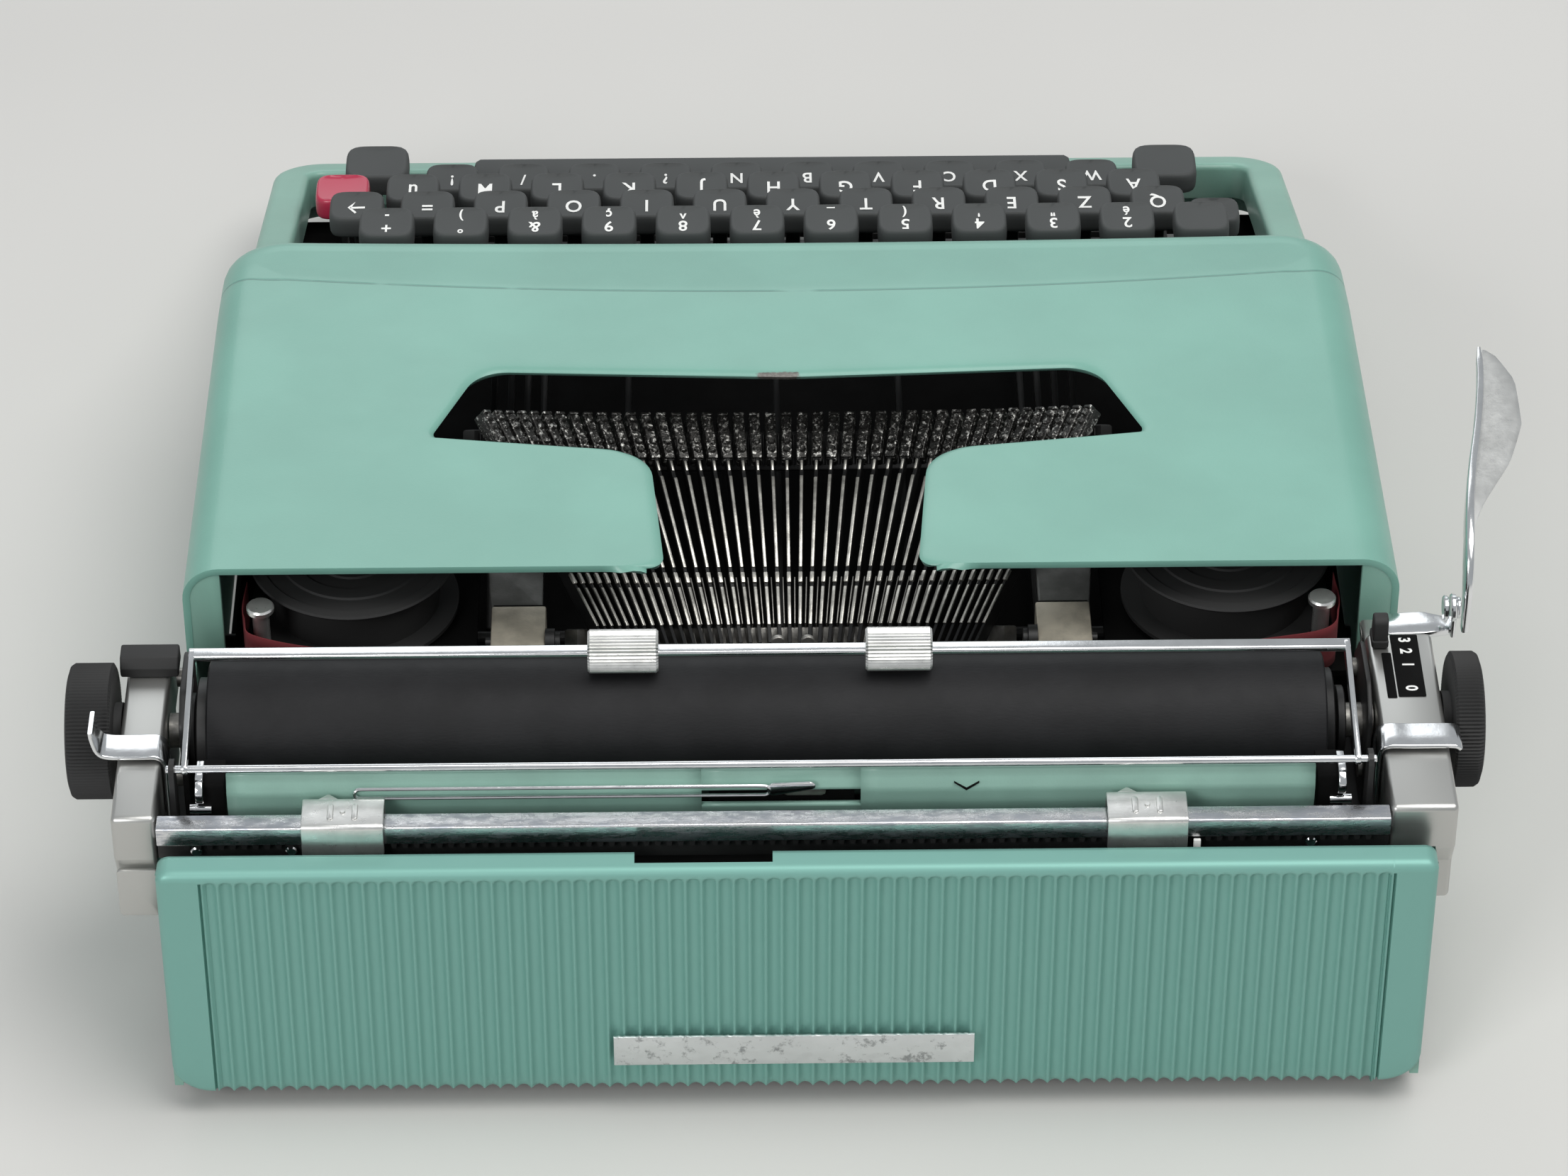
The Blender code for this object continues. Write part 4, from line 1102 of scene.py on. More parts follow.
    def frame_surface(self) -> Array:
        """Rounded channel round the keys: an arch section carried round a U in plan.

        Returns:
            Points (rows, columns, 3), rows going round the U.
        """
        plan = finer(rounded([(132.15, -77.7), (132.15, -171.3, 9.0), (-132.15, -171.3, 9.0),
                              (-132.15, -77.7)], 10, closed=False), 4.0)
        along = unit(np.gradient(plan, axis=0))
        outward = np.stack([-along[:, 1], along[:, 0]], -1)
        outward *= np.sign((outward * (plan - np.array([0.0, -110.0]))).sum(1, keepdims=True))
        slope = math.tan(math.radians(19.0))
        crest = 56.9 + (plan[:, 1] + 77.5) * slope
        turn = np.linspace(0.0, math.pi / 2, 6)
        offset = np.r_[4.85, 4.85 - 2.6 * (1 - np.cos(turn)), -4.85 + 2.0 * (1 - np.cos(turn))[::-1],
                       -4.85]
        under = np.r_[0.0, 2.6 * (1 - np.sin(turn)), 2.0 * (1 - np.sin(turn))[::-1], 0.0]
        flat = plan[:, None] + outward[:, None] * offset[None, :, None]
        tilt = (flat[..., 1] - plan[:, None, 1]) * slope
        z = crest[:, None] + tilt - under[None]
        z[:, 0] = self.low
        z[:, -1] = np.maximum(z[:, -2] - 9.0, self.low)
        return np.concatenate([flat, z[..., None]], axis=-1)

    def badge(self) -> list[Form]:
        """Blank plate whose upper edge has small nicks.

        Returns:
            The plate.
        """
        x = np.linspace(-39.9, 41.5, 190)
        wave = 0.10 * np.sin(x * 4.1) * (np.sin(x * 1.3) > -0.2)
        lower = np.stack([x, np.full_like(x, 14.9)], -1)
        upper = np.stack([x, 23.55 + wave], -1)[::-1]
        return [plate(np.vstack([lower, upper]), 172.75, 173.55, Axis.Y, 0.28)]

    def build(self) -> None:
        """Make the shell's pieces."""
        Piece("rear_panel_fluted", [Form(self.panel_surface(), closed=False)],
              [Look.PANEL], stands_for=["rear_panel"], wall=1.2, sharp=62.0).build()
        Piece("cover_shell", [Form(self.cover_surface(), closed=False)],
              [Look.COVER], stands_for=["top_cover"], wall=1.7, bevel=0.35, sharp=50.0).build()
        Piece("cover_flanges", [self.rear_flange(1.0), self.rear_flange(-1.0)], [Look.SHELL]).build()
        Piece("key_frame", [Form(self.frame_surface(), closed=False)], [Look.SHELL],
              stands_for=["keyboard_frame"], wall=1.6, bevel=0.3, sharp=50.0).build()
        Piece("badge_blank", self.badge(), [Look.BADGE], stands_for=["badge_plate"]).build()


# Keyboard --------------------------------------------------------------------


@dataclass
class Keyboard:
    """Dished key caps with their legends, stems and levers."""

    width: float = 14.2
    depth: float = 13.0
    tall: float = 6.2
    dish: float = 0.75
    pitch: float = 19.05
    letter_width: float = 0.74
    cap_middle: float = 0.0
    pivot: tuple[float, float] = (20.0, 14.0)
    rows: tuple = (
        ("key_row_1", "row_1", -89.0, 64.0, -88.9, "2 3 4 5 6 7 8 9 & ° +", "é \" ' ( _ è ^ ç à ) -",
         74.0, 5.0),
        ("key_row_2", "row_2", -108.0, 56.0, -98.4, "Q Z E R T Y U I O P =", "", 70.0, 5.0),
        ("key_row_3", "row_3", -127.5, 48.0, -93.6, "A S D F G H J K L M ù", "", 66.0, 4.0),
        ("key_row_4", "row_4", -146.5, 38.0, -83.9, "W X C V B N ? . / !", "", 62.0, 1.0),
    )

    def surface(self, x: Array, y: Array, half_x: float, half_y: float) -> Array:
        """Height of a cap's dished top below its rim: -dish (1 - (x/a)^2 - 0.35 (y/b)^2)."""
        reach = np.clip((x / half_x) ** 2 + 0.35 * (y / half_y) ** 2, 0.0, 1.0)
        return -self.dish * (1 - reach)

    def cap(self, x: float, y: float, top: float, width: float, depth: float) -> Form:
        """Cap as rings of superellipses |x/a|^p + |y/b|^p = 1 from skirt to dished middle.

        Args:
            x: Its middle across.
            y: Its middle along the machine.
            top: Height of its rim.
            width: Full width.
            depth: Full depth.

        Returns:
            The cap.
        """
        angle = np.arange(44) * (2 * math.pi / 44)
        ease = (np.abs(np.cos(angle)) ** 4.6 + np.abs(np.sin(angle)) ** 4.6) ** (-1 / 4.6)
        circle = np.stack([np.cos(angle) * ease, np.sin(angle) * ease], -1)
        scale = np.array([0.86, 0.955, 0.99, 1.0, 1.0, 0.985, 0.96, 0.925, 0.885, 0.84, 0.7, 0.5, 0.3,
                          0.1])
        level = np.array([-6.2, -6.0, -5.4, -4.4, -2.2, -1.0, -0.45, -0.12, 0.0])
        flat = circle[None] * scale[:, None, None] * np.array([width / 2, depth / 2])
        height = np.broadcast_to(np.r_[level, np.zeros(5)][:, None], flat.shape[:2]).copy()
        dished = self.surface(flat[9:, :, 0], flat[9:, :, 1], width * 0.44, depth * 0.44)
        height[9:] += dished
        spots = np.concatenate([flat + np.array([x, y]), (height + top)[..., None]], -1)
        return Form(spots)

    def stem(self, x: float, y: float, low: float, top: float) -> Form:
        """Narrow stem under a cap."""
        return brick((x - 1.9, y - 1.9, low), (x + 1.9, y + 1.9, top), 0.8)

    def lever(self, x: float, y: float, low: float, top: float) -> Form:
        """Flat lever from under a key back to the fulcrum, with a rounded end.

        Args:
            x: Its middle across.
            y: Middle of the key.
            low: Height of its front end.
            top: Height of the tab under the key.

        Returns:
            The lever.
        """
        back, pivot_z = self.pivot[0] - 2.7, self.pivot[1]
        side = rounded([(y - 2.8, top), (y - 2.8, low - 1.3, 1.2), (back, pivot_z - 1.4, 0.6),
                        (back, pivot_z + 1.4, 0.6), (y + 2.8, low + 1.4, 2.5), (y + 2.8, top)], 3)
        return plate(side, x - 0.8, x + 0.8, Axis.X, 0.2, 1)

    def legend(self, text: str, x: float, y: float, top: float, height: float) -> bpy.types.Mesh:
        """White legend that faces the typist and follows the dish of its cap.

        Args:
            text: What it says.
            x: Its middle across.
            y: Its middle along the machine.
            top: Height of the cap's rim.
            height: Height of a capital.

        Returns:
            The legend's mesh.
        """
        shift = home()
        place = Matrix.Translation((x * MM + shift.x, y * MM + shift.y, 0.0))
        mesh = lettering(text, height, place @ Matrix.Diagonal((self.letter_width, 1.0, 1.0, 1.0)))
        count = len(mesh.vertices)
        spots = np.empty(count * 3)
        mesh.vertices.foreach_get("co", spots)
        spots = spots.reshape(-1, 3)
        local_x = (spots[:, 0] - shift.x) / MM - x
        cap_y = self.cap_middle - y
        local_y = (spots[:, 1] - shift.y) / MM - y - cap_y
        drop = self.surface(local_x, local_y, self.width * 0.44, self.depth * 0.44)
        spots[:, 2] = (top + drop + 0.10) * MM
        mesh.vertices.foreach_set("co", spots.ravel())
        return mesh

    def legends(self, name: str, body: str, marks: list[tuple[str, float, float, float, float]],
                middle: float) -> None:
        """Join the legends of one body into one piece.

        Args:
            name: Name of the piece.
            body: Body it moves with.
            marks: Text, x, y, top and letter height of each legend.
            middle: Middle of the row's caps along Y.
        """
        self.cap_middle = middle
        joined_letters(name, body, [self.legend(*mark) for mark in marks])

    def row(self, index: int) -> None:
        """One row of caps on its cross bar; the h key of the third row moves alone.

        Args:
            index: Which row, from the rear.
        """
        node, body, y, top, first, lower, upper, arms, drop = self.rows[index]
        letters, uppers = lower.split(), upper.split()
        places = [first + self.pitch * i for i in range(len(letters))]
        alone = 5 if index == 2 else -1
        bar_low = top - 17.0
        forms, marks, single = [], [], []
        groups = [places] if alone < 0 else [places[:alone], places[alone + 1:]]
        for group in groups:
            ends = (group[0] - 2.0, y - 2.8, bar_low), (group[-1] + 2.0, y + 2.8, bar_low + 2.8)
            forms.append(brick(*ends, 0.5).dressed(1))
        levers = (-arms, arms) if alone < 0 else (-arms, -30.0, 40.0, arms)
        forms += [self.lever(x, y, bar_low - drop, bar_low + 1.5).dressed(1) for x in levers]
        for i, x in enumerate(places):
            target = single if i == alone else forms
            target.append(self.cap(x, y, top, self.width, self.depth))
            low = bar_low + 0.5 if i != alone else top - 7.0
            target.append(self.stem(x, y, low, top - self.tall + 0.6).dressed(1))
        if index == 0:
            marks = [(a, x, y + 2.1, top, 4.6) for a, x in zip(letters, places)]
            marks += [(b, x, y - 3.0, top, 3.6) for b, x in zip(uppers, places)]
        elif index == 3:
            marks = [(a, x, y + 0.6, top, 4.6) for a, x in zip(letters, places)]
        else:
            marks = [(a, x, y + 0.4, top, 5.2) for a, x in zip(letters, places)]
        if alone >= 0:
            single.append(self.lever(places[alone], y, top - 21.0, top - 3.0).dressed(1))
            Piece("h_key_cap", single, [Look.KEY, Look.DARK], "h_key", ["key_h"], sharp=55.0).build()
            self.legends("h_key_legend", "h_key", [marks.pop(alone)], y)
            nodes = ["key_row_3_left", "key_row_3_right"]
        else:
            nodes = [node]
        Piece(f"{node}_caps", forms, [Look.KEY, Look.DARK], body, nodes, sharp=55.0).build()
        self.legends(f"{node}_legends", body, marks, y)

    def others(self) -> None:
        """The keys beside the rows and the space bar."""
        keys = (
            ("backspace_key", "backspace", 110.5, -108.0, 56.0, 14.2, 13.0, 34.0, Look.KEY),
            ("tab_key", "tab", 115.5, -127.5, 48.0, 14.2, 13.0, 26.0, Look.RED),
            ("shift_key_right", "shift_right", 108.0, -155.0, 37.5, 17.0, 15.5, 18.0, Look.KEY),
            ("shift_key_left", "shift_left", -104.0, -153.5, 37.0, 17.0, 15.5, 18.0, Look.KEY),
            ("shift_lock_key", "shift_lock", -113.0, -104.5, 55.0, 13.0, 11.0, 30.0, Look.KEY),
            ("margin_release_key", "margin_release", -108.0, -89.0, 64.0, 14.2, 13.0, 40.0, Look.KEY),
        )
        for node, body, x, y, top, width, depth, low, look in keys:
            forms = [self.cap(x, y, top, width, depth),
                     self.stem(x, y, top - 8.0, top - self.tall + 0.6).dressed(1),
                     self.lever(x, y, low, top - 5.8).dressed(1)]
            Piece(f"{node}_cap", forms, [look, Look.DARK], body, [node], sharp=55.0).build()
        self.legends("backspace_arrow", "backspace", [("→", 110.5, -107.6, 56.0, 5.6)], -108.0)
        section = rectangle((-5.2, -3.4), (5.2, 3.4), 2.2, 5)
        path = [(x, -162.7, 26.5) for x in (-79.4, -79.0, -77.8, -40.0, 1.5, 43.0, 80.8, 82.0, 82.4)]
        sizes = np.array([0.62, 0.86, 1, 1, 1, 1, 1, 0.86, 0.62])[:, None] * np.ones((1, 2))
        bar = swept(section, path, (0.0, 1.0, 0.0), sizes)
        legs = [brick((x - 1.2, -164.0, 9.0), (x + 1.2, -160.0, 24.0), 0.5).dressed(1)
                for x in (-54.0, 54.0)]
        Piece("space_bar_cap", [bar, *legs], [Look.KEY, Look.DARK], "space", ["space_bar"]).build()

    def build(self) -> None:
        """Make every key."""
        for index in range(4):
            self.row(index)
        self.others()


# Type basket and ribbon -------------------------------------------------------


@dataclass
class Basket:
    """Ring of typebars with slugs, their segment, rest, guide and the ribbon parts."""

    centre: tuple[float, float] = (98.0, 77.1)
    tilt: float = math.radians(51.0)
    radius: float = 59.0
    spread: float = math.radians(34.2)
    step: float = math.radians(2.38)
    each_side: int = 21
    spool: tuple[float, float] = (103.0, 58.0)
    spool_radius: float = 24.5

    def ring_frame(self) -> Array:
        """Frame of the pivot ring in millimetres: X, up the tilt, forwards off its plane."""
        sine, cosine = math.sin(self.tilt), math.cos(self.tilt)
        return np.array([[1, 0, 0, 0], [0, sine, -cosine, self.centre[0]],
                         [0, cosine, sine, self.centre[1]], [0, 0, 0, 1.0]])

    def bar_frame(self, angle: float) -> Array:
        """Frame at one pivot: thickness, depth and length of its bar.

        Args:
            angle: Turn of the bar round the ring, in radians.

        Returns:
            A 4 x 4 matrix in millimetres.
        """
        inward = np.array(Matrix.Rotation(angle, 4, "Z"))
        pivot = np.array(Matrix.Translation((0.0, -self.radius, 0.0)))
        return self.ring_frame() @ inward @ pivot @ np.array(Matrix.Rotation(self.spread, 4, "X"))

    def bar(self, frame: Array, seed: float) -> list[Form]:
        """One bar: dark sides, a bright upper edge broken near the pivot, and its slug.

        Args:
            frame: Place of the bar.
            seed: Number from 0 to 1 that varies its shape a little.

        Returns:
            Its forms; finish 1 is the bright edge and 2 the slug.
        """
        joint = 16.4
        knee = 45.0 + 1.2 * seed
        body = plate(rounded([(-1.5, -2.0), (1.2, -2.0), (1.2, joint), (1.5, joint + 3.0), (1.5, knee),
                              (1.1, knee + 2.5), (1.1, 53.0), (-1.1, 53.0), (-1.5, 40.0)], 2),
                     -0.48, 0.48, Axis.X, 0.1, 1)
        side = 0.42
        lower = brick((-side, 1.15, 3.0), (side, 1.62, joint - 2.4), 0.2, Axis.Z, 0.15).dressed(1)
        wider = side + 0.1
        link = brick((-wider, 0.9, joint - 1.2), (wider, 1.75, joint + 1.9), 0.2, Axis.Z, 0.3)
        upper = brick((-side, 1.42, joint + 3.2), (side, 1.86, knee + 1.0), 0.2, Axis.Z, 0.15)
        tip = brick((-0.34, 0.95, 48.6), (0.34, 1.5, 51.6), 0.2, Axis.Z, 0.2)
        base = brick((-1.3, -2.2, 52.2), (1.3, 0.9, 65.8), 0.5, Axis.Z, 0.4)
        faces = [turned([(0.8, 1.12), (1.9, 1.0), (2.3, 0.7)], (0.0, place), Axis.Y, 12)
                 for place in (54.8, 57.2, 61.4, 63.8)]
        middle = brick((-1.25, 0.5, 52.4), (1.25, 1.55, 65.7), 0.3, Axis.Z, 0.3)
        ends = [brick((-1.28, 0.4, 65.0), (1.28, 2.0, 65.8), 0.3, Axis.Z, 0.2)]
        forms = [body, lower, link.dressed(1), upper.dressed(1), tip.dressed(1)]
        forms += [form.dressed(2) for form in (base, *faces, middle, *ends)]
        return [form.moved(frame) for form in forms]

    def arc_band(self, inner: float, outer: float, half: float, low: float, high: float) -> Form:
        """Band below the ring's centre, in the ring's frame.

        Args:
            inner: Inner radius.
            outer: Outer radius.
            half: Half its angle.
            low: Lower face.
            high: Upper face.

        Returns:
            The band, in place.
        """
        angle = np.linspace(-half, half, 33)
        below = np.stack([outer * np.sin(angle), -outer * np.cos(angle)], -1)
        above = np.stack([inner * np.sin(angle), -inner * np.cos(angle)], -1)[::-1]
        return plate(np.vstack([below, above]), low, high, Axis.Z, 0.5).moved(self.ring_frame())

    def bars(self) -> None:
        """The segment with its bars and dividers, and the h key's bar apart."""
        forms: list[Form] = []
        order = [i for i in range(-self.each_side, self.each_side + 1) if i]
        for i in order:
            forms += self.bar(self.bar_frame(i * self.step), (i * 7 % 5) / 5)
        half = math.radians(53.0)
        forms.append(self.arc_band(55.0, 67.0, half, -6.0, -2.2).dressed(3))
        rim = self.arc_band(63.2, 67.0, half, -2.2, 2.6)
        forms.append(rim.dressed(3))
        for i in range(-self.each_side, self.each_side):
            frame = self.bar_frame((i + 0.5) * self.step)
            fin = brick((-0.16, -1.3, 4.0), (0.16, 0.4, 17.5), 0.1, Axis.Z, 0.05)
            forms.append(fin.dressed(3).moved(frame))
        Piece("typebars", forms, [Look.BAR, Look.EDGE, Look.TYPE, Look.STEEL],
              stands_for=["type_basket"], sharp=30.0).build()
        Piece("typebar_of_h", self.bar(self.bar_frame(0.0), 0.0), [Look.BAR, Look.EDGE, Look.TYPE],
              "typebar", ["typebar_h"], sharp=30.0).build()

    def rest(self) -> None:
        """Padded rest behind the slugs with a comb of thin wires in front."""
        half = math.radians(50.0)
        forms = [self.arc_band(98.6, 102.2, half, 41.2, 50.8)]
        count = 46
        for i in range(count):
            angle = (i - (count - 1) / 2) * half * 2 / count
            turn = np.array(Matrix.Rotation(angle, 4, "Z"))
            wire = brick((-0.35, -98.5, 42.5), (0.35, -97.9, 50.0), 0.2, Axis.Z, 0.15)
            forms.append(wire.dressed(1).moved(self.ring_frame() @ turn))
        Piece("slug_rest", forms, [Look.DARK, Look.BAR], stands_for=["type_rest"]).build()

    def guide(self) -> None:
        """Forked guide that centres a bar at the print point."""
        fork = rounded([(-5.0, 49.0), (5.0, 49.0), (5.0, 79.0, 1.5), (1.9, 79.0, 1.4), (1.9, 66.0, 0.8),
                        (-1.9, 66.0, 0.8), (-1.9, 79.0, 1.4), (-5.0, 79.0, 1.5)], 5)
        Piece("guide_fork", [plate(fork, 98.4, 99.6, Axis.Y, 0.35, 3)], [Look.STEEL],
              stands_for=["type_guide"]).build()

    def ribbon(self) -> None:
        """Spools, post screws and the ribbon's path."""
        x, y = self.spool
        radius = self.spool_radius
        profile = [(57.3, 3.0), (57.3, radius), (58.3, radius), (58.6, 20.0), (70.6, 20.0),
                   (70.9, radius - 0.3), (71.4, radius), (71.9, radius - 0.3), (71.9, 21.6),
                   (71.5, 21.2), (71.5, 17.4), (71.9, 17.0), (71.9, 13.6), (71.5, 13.2),
                   (71.5, 9.6), (71.9, 9.2), (71.9, 4.5), (70.6, 4.2), (70.6, 0.6)]
        for name, side in (("left", -1.0), ("right", 1.0)):
            spool = turned(profile, (side * x, y), Axis.Z, 72)
            Piece(f"spool_{name}_reel", [spool], [Look.PLASTIC], f"spool_{name}",
                  [f"ribbon_spool_{name}"], sharp=25.0).build()
            place = (side * 123.5, 80.0)
            screw = turned([(55.9, 2.0), (72.4, 2.0), (72.5, 3.2), (73.5, 3.25), (73.95, 2.9),
                            (74.0, 2.4)], place, Axis.Z, 32)
            Piece(f"post_{name}_screw", [screw], [Look.NICKEL],
                  stands_for=[f"spool_post_{name}"]).build()
        half_route = [(127.6, 66.0, 57.5), (127.6, 79.0, 57.5), (121.0, 87.8, 57.4),
                      (80.0, 92.5, 55.0), (28.0, 94.8, 50.0), (8.0, 101.5, 49.4)]
        mirrored = [(-spot_x, spot_y, z) for spot_x, spot_y, z in half_route]
        route = smooth_path(mirrored + half_route[::-1], 150)
        sag = 0.22 * np.sin(np.arange(150) * 0.55)[:, None] * np.array([0.0, 1.0, 0.0])
        levels = np.linspace(0.0, RIBBON_WIDTH, 6)[:, None, None] * np.array([0.0, 0.0, 1.0])
        fall = sag[None] * np.linspace(0.3, 1.0, 6)[:, None, None]
        cloth = Form(route[None] + fall + levels, closed=False)
        band = Piece("ribbon_band", [cloth], [Look.RIBBON], stands_for=["ink_ribbon"], wall=0.25,
                     wall_side=0.0).build()

    def deck(self) -> None:
        """Brackets, clamp blocks and screws on the spool deck, and the ribbon's wire guides."""
        forms: list[Form] = []
        for side in (-1.0, 1.0):
            low, high = sorted((side * 58.2, side * 69.8))
            block = brick((low - 0.6, 66.6, 55.8), (high + 0.6, 82.9, 62.5), 0.8, Axis.X, 0.5)
            forms.append(block.dressed(1))
            tongue = rounded([(side * 58.5, 48.0, 3.0), (side * 72.0, 48.0, 3.0),
                              (side * 70.5, 66.4, 1.0), (side * 58.5, 66.4, 1.0)], 4)
            forms.append(plate(tongue, 59.4, 61.2, Axis.Z, 0.4).dressed(0))
            cheek = rounded([(side * 58.0, 86.5), (side * 52.0, 84.6, 3.0), (side * 46.0, 89.0, 2.0),
                             (side * 41.0, 90.6), (side * 46.0, 91.4), (side * 58.0, 90.4)], 4)
            forms.append(plate(cheek, 58.6, 60.6, Axis.Z, 0.3).dressed(0))
            for x0, x1, radius in ((55.4, 57.6, 3.2), (54.2, 55.3, 2.3), (70.2, 71.6, 1.2)):
                a, b = sorted((side * x0, side * x1))
                forms.append(turned([(a, radius), (b, radius)], (78.6, 61.0), Axis.X, 24).dressed(2))
        wire = smooth_path([(95.0, 93.6, 63.8), (78.0, 93.8, 64.6), (70.0, 93.9, 66.4),
                            (52.0, 93.9, 66.6), (42.0, 93.9, 66.0), (34.0, 94.0, 64.0),
                            (20.0, 94.2, 63.2)], 40)
        forms.append(swept(ring(0.35, 8), wire, (0.0, 1.0, 0.0)).dressed(1))
        Piece("deck_fittings", forms, [Look.GREY, Look.BRASSY, Look.DARK]).build()

    def build(self) -> None:
        """Make the basket and the ribbon parts."""
        self.bars()
        self.rest()
        self.guide()
        self.ribbon()
        self.deck()


# Carriage --------------------------------------------------------------------


@dataclass
class Carriage:
    """Platen, end castings, paper bail, paper table, margin set and the levers."""

    platen: tuple[float, float] = (120.0, 70.0)
    radius: float = 16.0
    span: tuple[float, float] = (-119.8, 132.3)
    right: tuple[float, float] = (141.9, 151.7)
    left: tuple[float, float] = (-146.6, -131.7)
    top: float = 78.0
    bail_rod: tuple[float, float] = (150.0, 84.0)
    bail_bar: tuple[float, float] = (119.0, 91.3)
    arms: tuple[float, float] = (-124.6, 135.5)
    rollers: tuple = (("right", 30.6, 46.5), ("left", -31.0, -16.0))
    stops: tuple = (("right", 91.3, 109.5), ("left", -86.4, -68.6))

    def platen_roll(self) -> None:
        """Rubber roll with steel end discs and shaft, and its two toothed knobs."""
        low, high = self.span
        radius = self.radius
        roll = turned([(low, radius - 0.5), (low + 0.4, radius), (high - 0.4, radius),
                       (high, radius - 0.5)], self.platen, Axis.X, 96)
        shaft = [turned([(a, 4.0), (b, 4.0)], self.platen, Axis.X, 24).dressed(1)
                 for a, b in ((-131.4, low - 0.02), (high + 0.02, 141.6))]
        sizes = ((low - 2.2, low - 0.1, 12.0), (high + 0.1, high + 2.6, 12.0),
                 (high + 3.0, high + 4.6, 8.5), (low - 5.0, low - 3.0, 8.0))
        discs = [turned([(a, r - 0.4), (a + 0.3, r), (b - 0.3, r), (b, r - 0.4)], self.platen,
                        Axis.X, 48).dressed(2) for a, b, r in sizes]
        Piece("platen_roller", [roll, *shaft, *discs], [Look.RUBBER, Look.STEEL, Look.DARK],
              "platen_roll", ["platen"]).build()
        for name, inner, outer in (("right", 152.2, 164.2), ("left", -147.1, -155.6)):
            turn = 1.0 if outer > inner else -1.0
            face = inner + 1.8 * turn
            hub = turned(sorted([(inner, 6.5), (face, 6.5)]), self.platen, Axis.X, 32)
            rim = sorted([(face, 14.6), (face + 0.5 * turn, 15.5), (outer - 1.3 * turn, 15.5),
                          (outer - 0.4 * turn, 14.9)])
            knurl = turned(rim, self.platen, Axis.X, 220, 0.42)
            cap = sorted([(outer - 1.2 * turn, 14.7), (outer - 0.3 * turn, 14.4), (outer, 13.6)])
            dish = sorted([(outer - 0.9 * turn, 10.0), (outer, 9.6)])
            forms = [hub, knurl, turned(cap, self.platen, Axis.X, 64),
                     turned(dish, self.platen, Axis.X, 48)]
            Piece(f"knob_{name}_grip", forms, [Look.PLASTIC], "platen_roll", [f"knob_{name}"]).build()

    def casting(self, span: tuple[float, float], shelf: bool) -> Form:
        """End casting: its side outline runs round the top, the stepped rear and the foot.

        Args:
            span: Its two ends across.
            shelf: Whether it has a slot for the return lever's bracket.

        Returns:
            The casting.
        """
        low, high = span
        top = self.top
        front = [(96.0, 63.0, 0.5)]
        if shelf:
            front += [(96.0, 70.4), (86.2, 70.4, 0.4), (86.2, 72.0, 0.4), (96.0, 72.0)]
        rear = [(96.0, 74.0, 1.0), (99.0, top, 2.0), (159.8, top, 1.4), (159.8, 66.0, 0.8),
                (157.0, 60.0, 0.8), (157.0, 49.3), (104.0, 49.3), (104.0, 63.0)]
        return plate(rounded(front + rear, 4), low, high, Axis.X, 1.1, 3)

    def castings(self) -> None:
        """Both castings, their rear steps and the dark mechanism inside them."""
        right = [self.casting(self.right, False),
                 brick((self.right[0] + 0.2, 158.8, 49.6), (151.4, 160.0, 63.0), 1.0, Axis.Y, 0.3)]
        Piece("casting_right", right, [Look.CAST], "carriage", ["carriage_end_right"]).build()
        left = [self.casting(self.left, True)]
        Piece("casting_left", left, [Look.CAST], "carriage", ["carriage_end_left"]).build()
        inner: list[Form] = []
        for x0, x1 in ((137.0, 138.4), (-130.0, -128.9)):
            side = rounded([(101.0, 52.0, 2.0), (131.6, 52.0, 2.0), (131.6, 80.0, 3.0),
                            (124.0, 84.6, 5.0), (108.0, 84.0, 6.0), (101.0, 74.0, 3.0)], 5)
            inner.append(plate(side, x0, x1, Axis.X, 0.3))
        for x, y, z, radius in ((139.4, 106.0, 74.0, 2.2), (139.4, 127.0, 62.0, 2.0),
                                (-129.4, 106.0, 74.0, 2.2), (-129.4, 127.0, 62.0, 2.4)):
            rivet = turned([(x - 1.8, radius), (x + 1.4, radius)], (y, z), Axis.X, 20)
            inner.append(rivet.dressed(1))
        Piece("end_plates", inner, [Look.DARK, Look.STEEL], "carriage").build()

    def bail(self) -> None:
        """Flat bail bar on two thin arms that pivot with the rear rod, and its rollers."""
        left, right = self.arms
        y, z = self.bail_bar
        rod_y, rod_z = self.bail_rod
        bar = brick((left - 0.7, y - 1.65, z - 0.9), (right + 0.7, y + 1.65, z + 0.9), 0.6,
                    Axis.X, 0.2)
        rod = turned([(left - 4.2, 0.7), (left - 4.0, 0.9), (right + 4.0, 0.9), (right + 4.2, 0.7)],
                     self.bail_rod, Axis.X, 16)
        forms = [bar, rod]
        for x in self.arms:
            side = rounded([(y - 1.4, z - 1.5, 1.3), (rod_y + 1.4, rod_z - 1.5, 1.3),
                            (rod_y + 1.4, rod_z + 1.3, 1.3), (y - 1.4, z + 1.5, 1.3)], 4)
            forms.append(plate(side, x - 0.65, x + 0.65, Axis.X, 0.25))
        Piece("bail_bar_arms", forms, [Look.CHROME], "bail", ["paper_bail"]).build()
        for name, low, high in self.rollers:
            knurl = turned([(low, 4.5), (low + 0.5, 4.95), (high - 0.5, 4.95), (high, 4.5)],
                           self.bail_bar, Axis.X, 76, 0.32)
            Piece(f"bail_roller_{name}_knurl", [knurl], [Look.NICKEL], f"roller_{name}",
                  [f"bail_roller_{name}"], sharp=20.0).build()

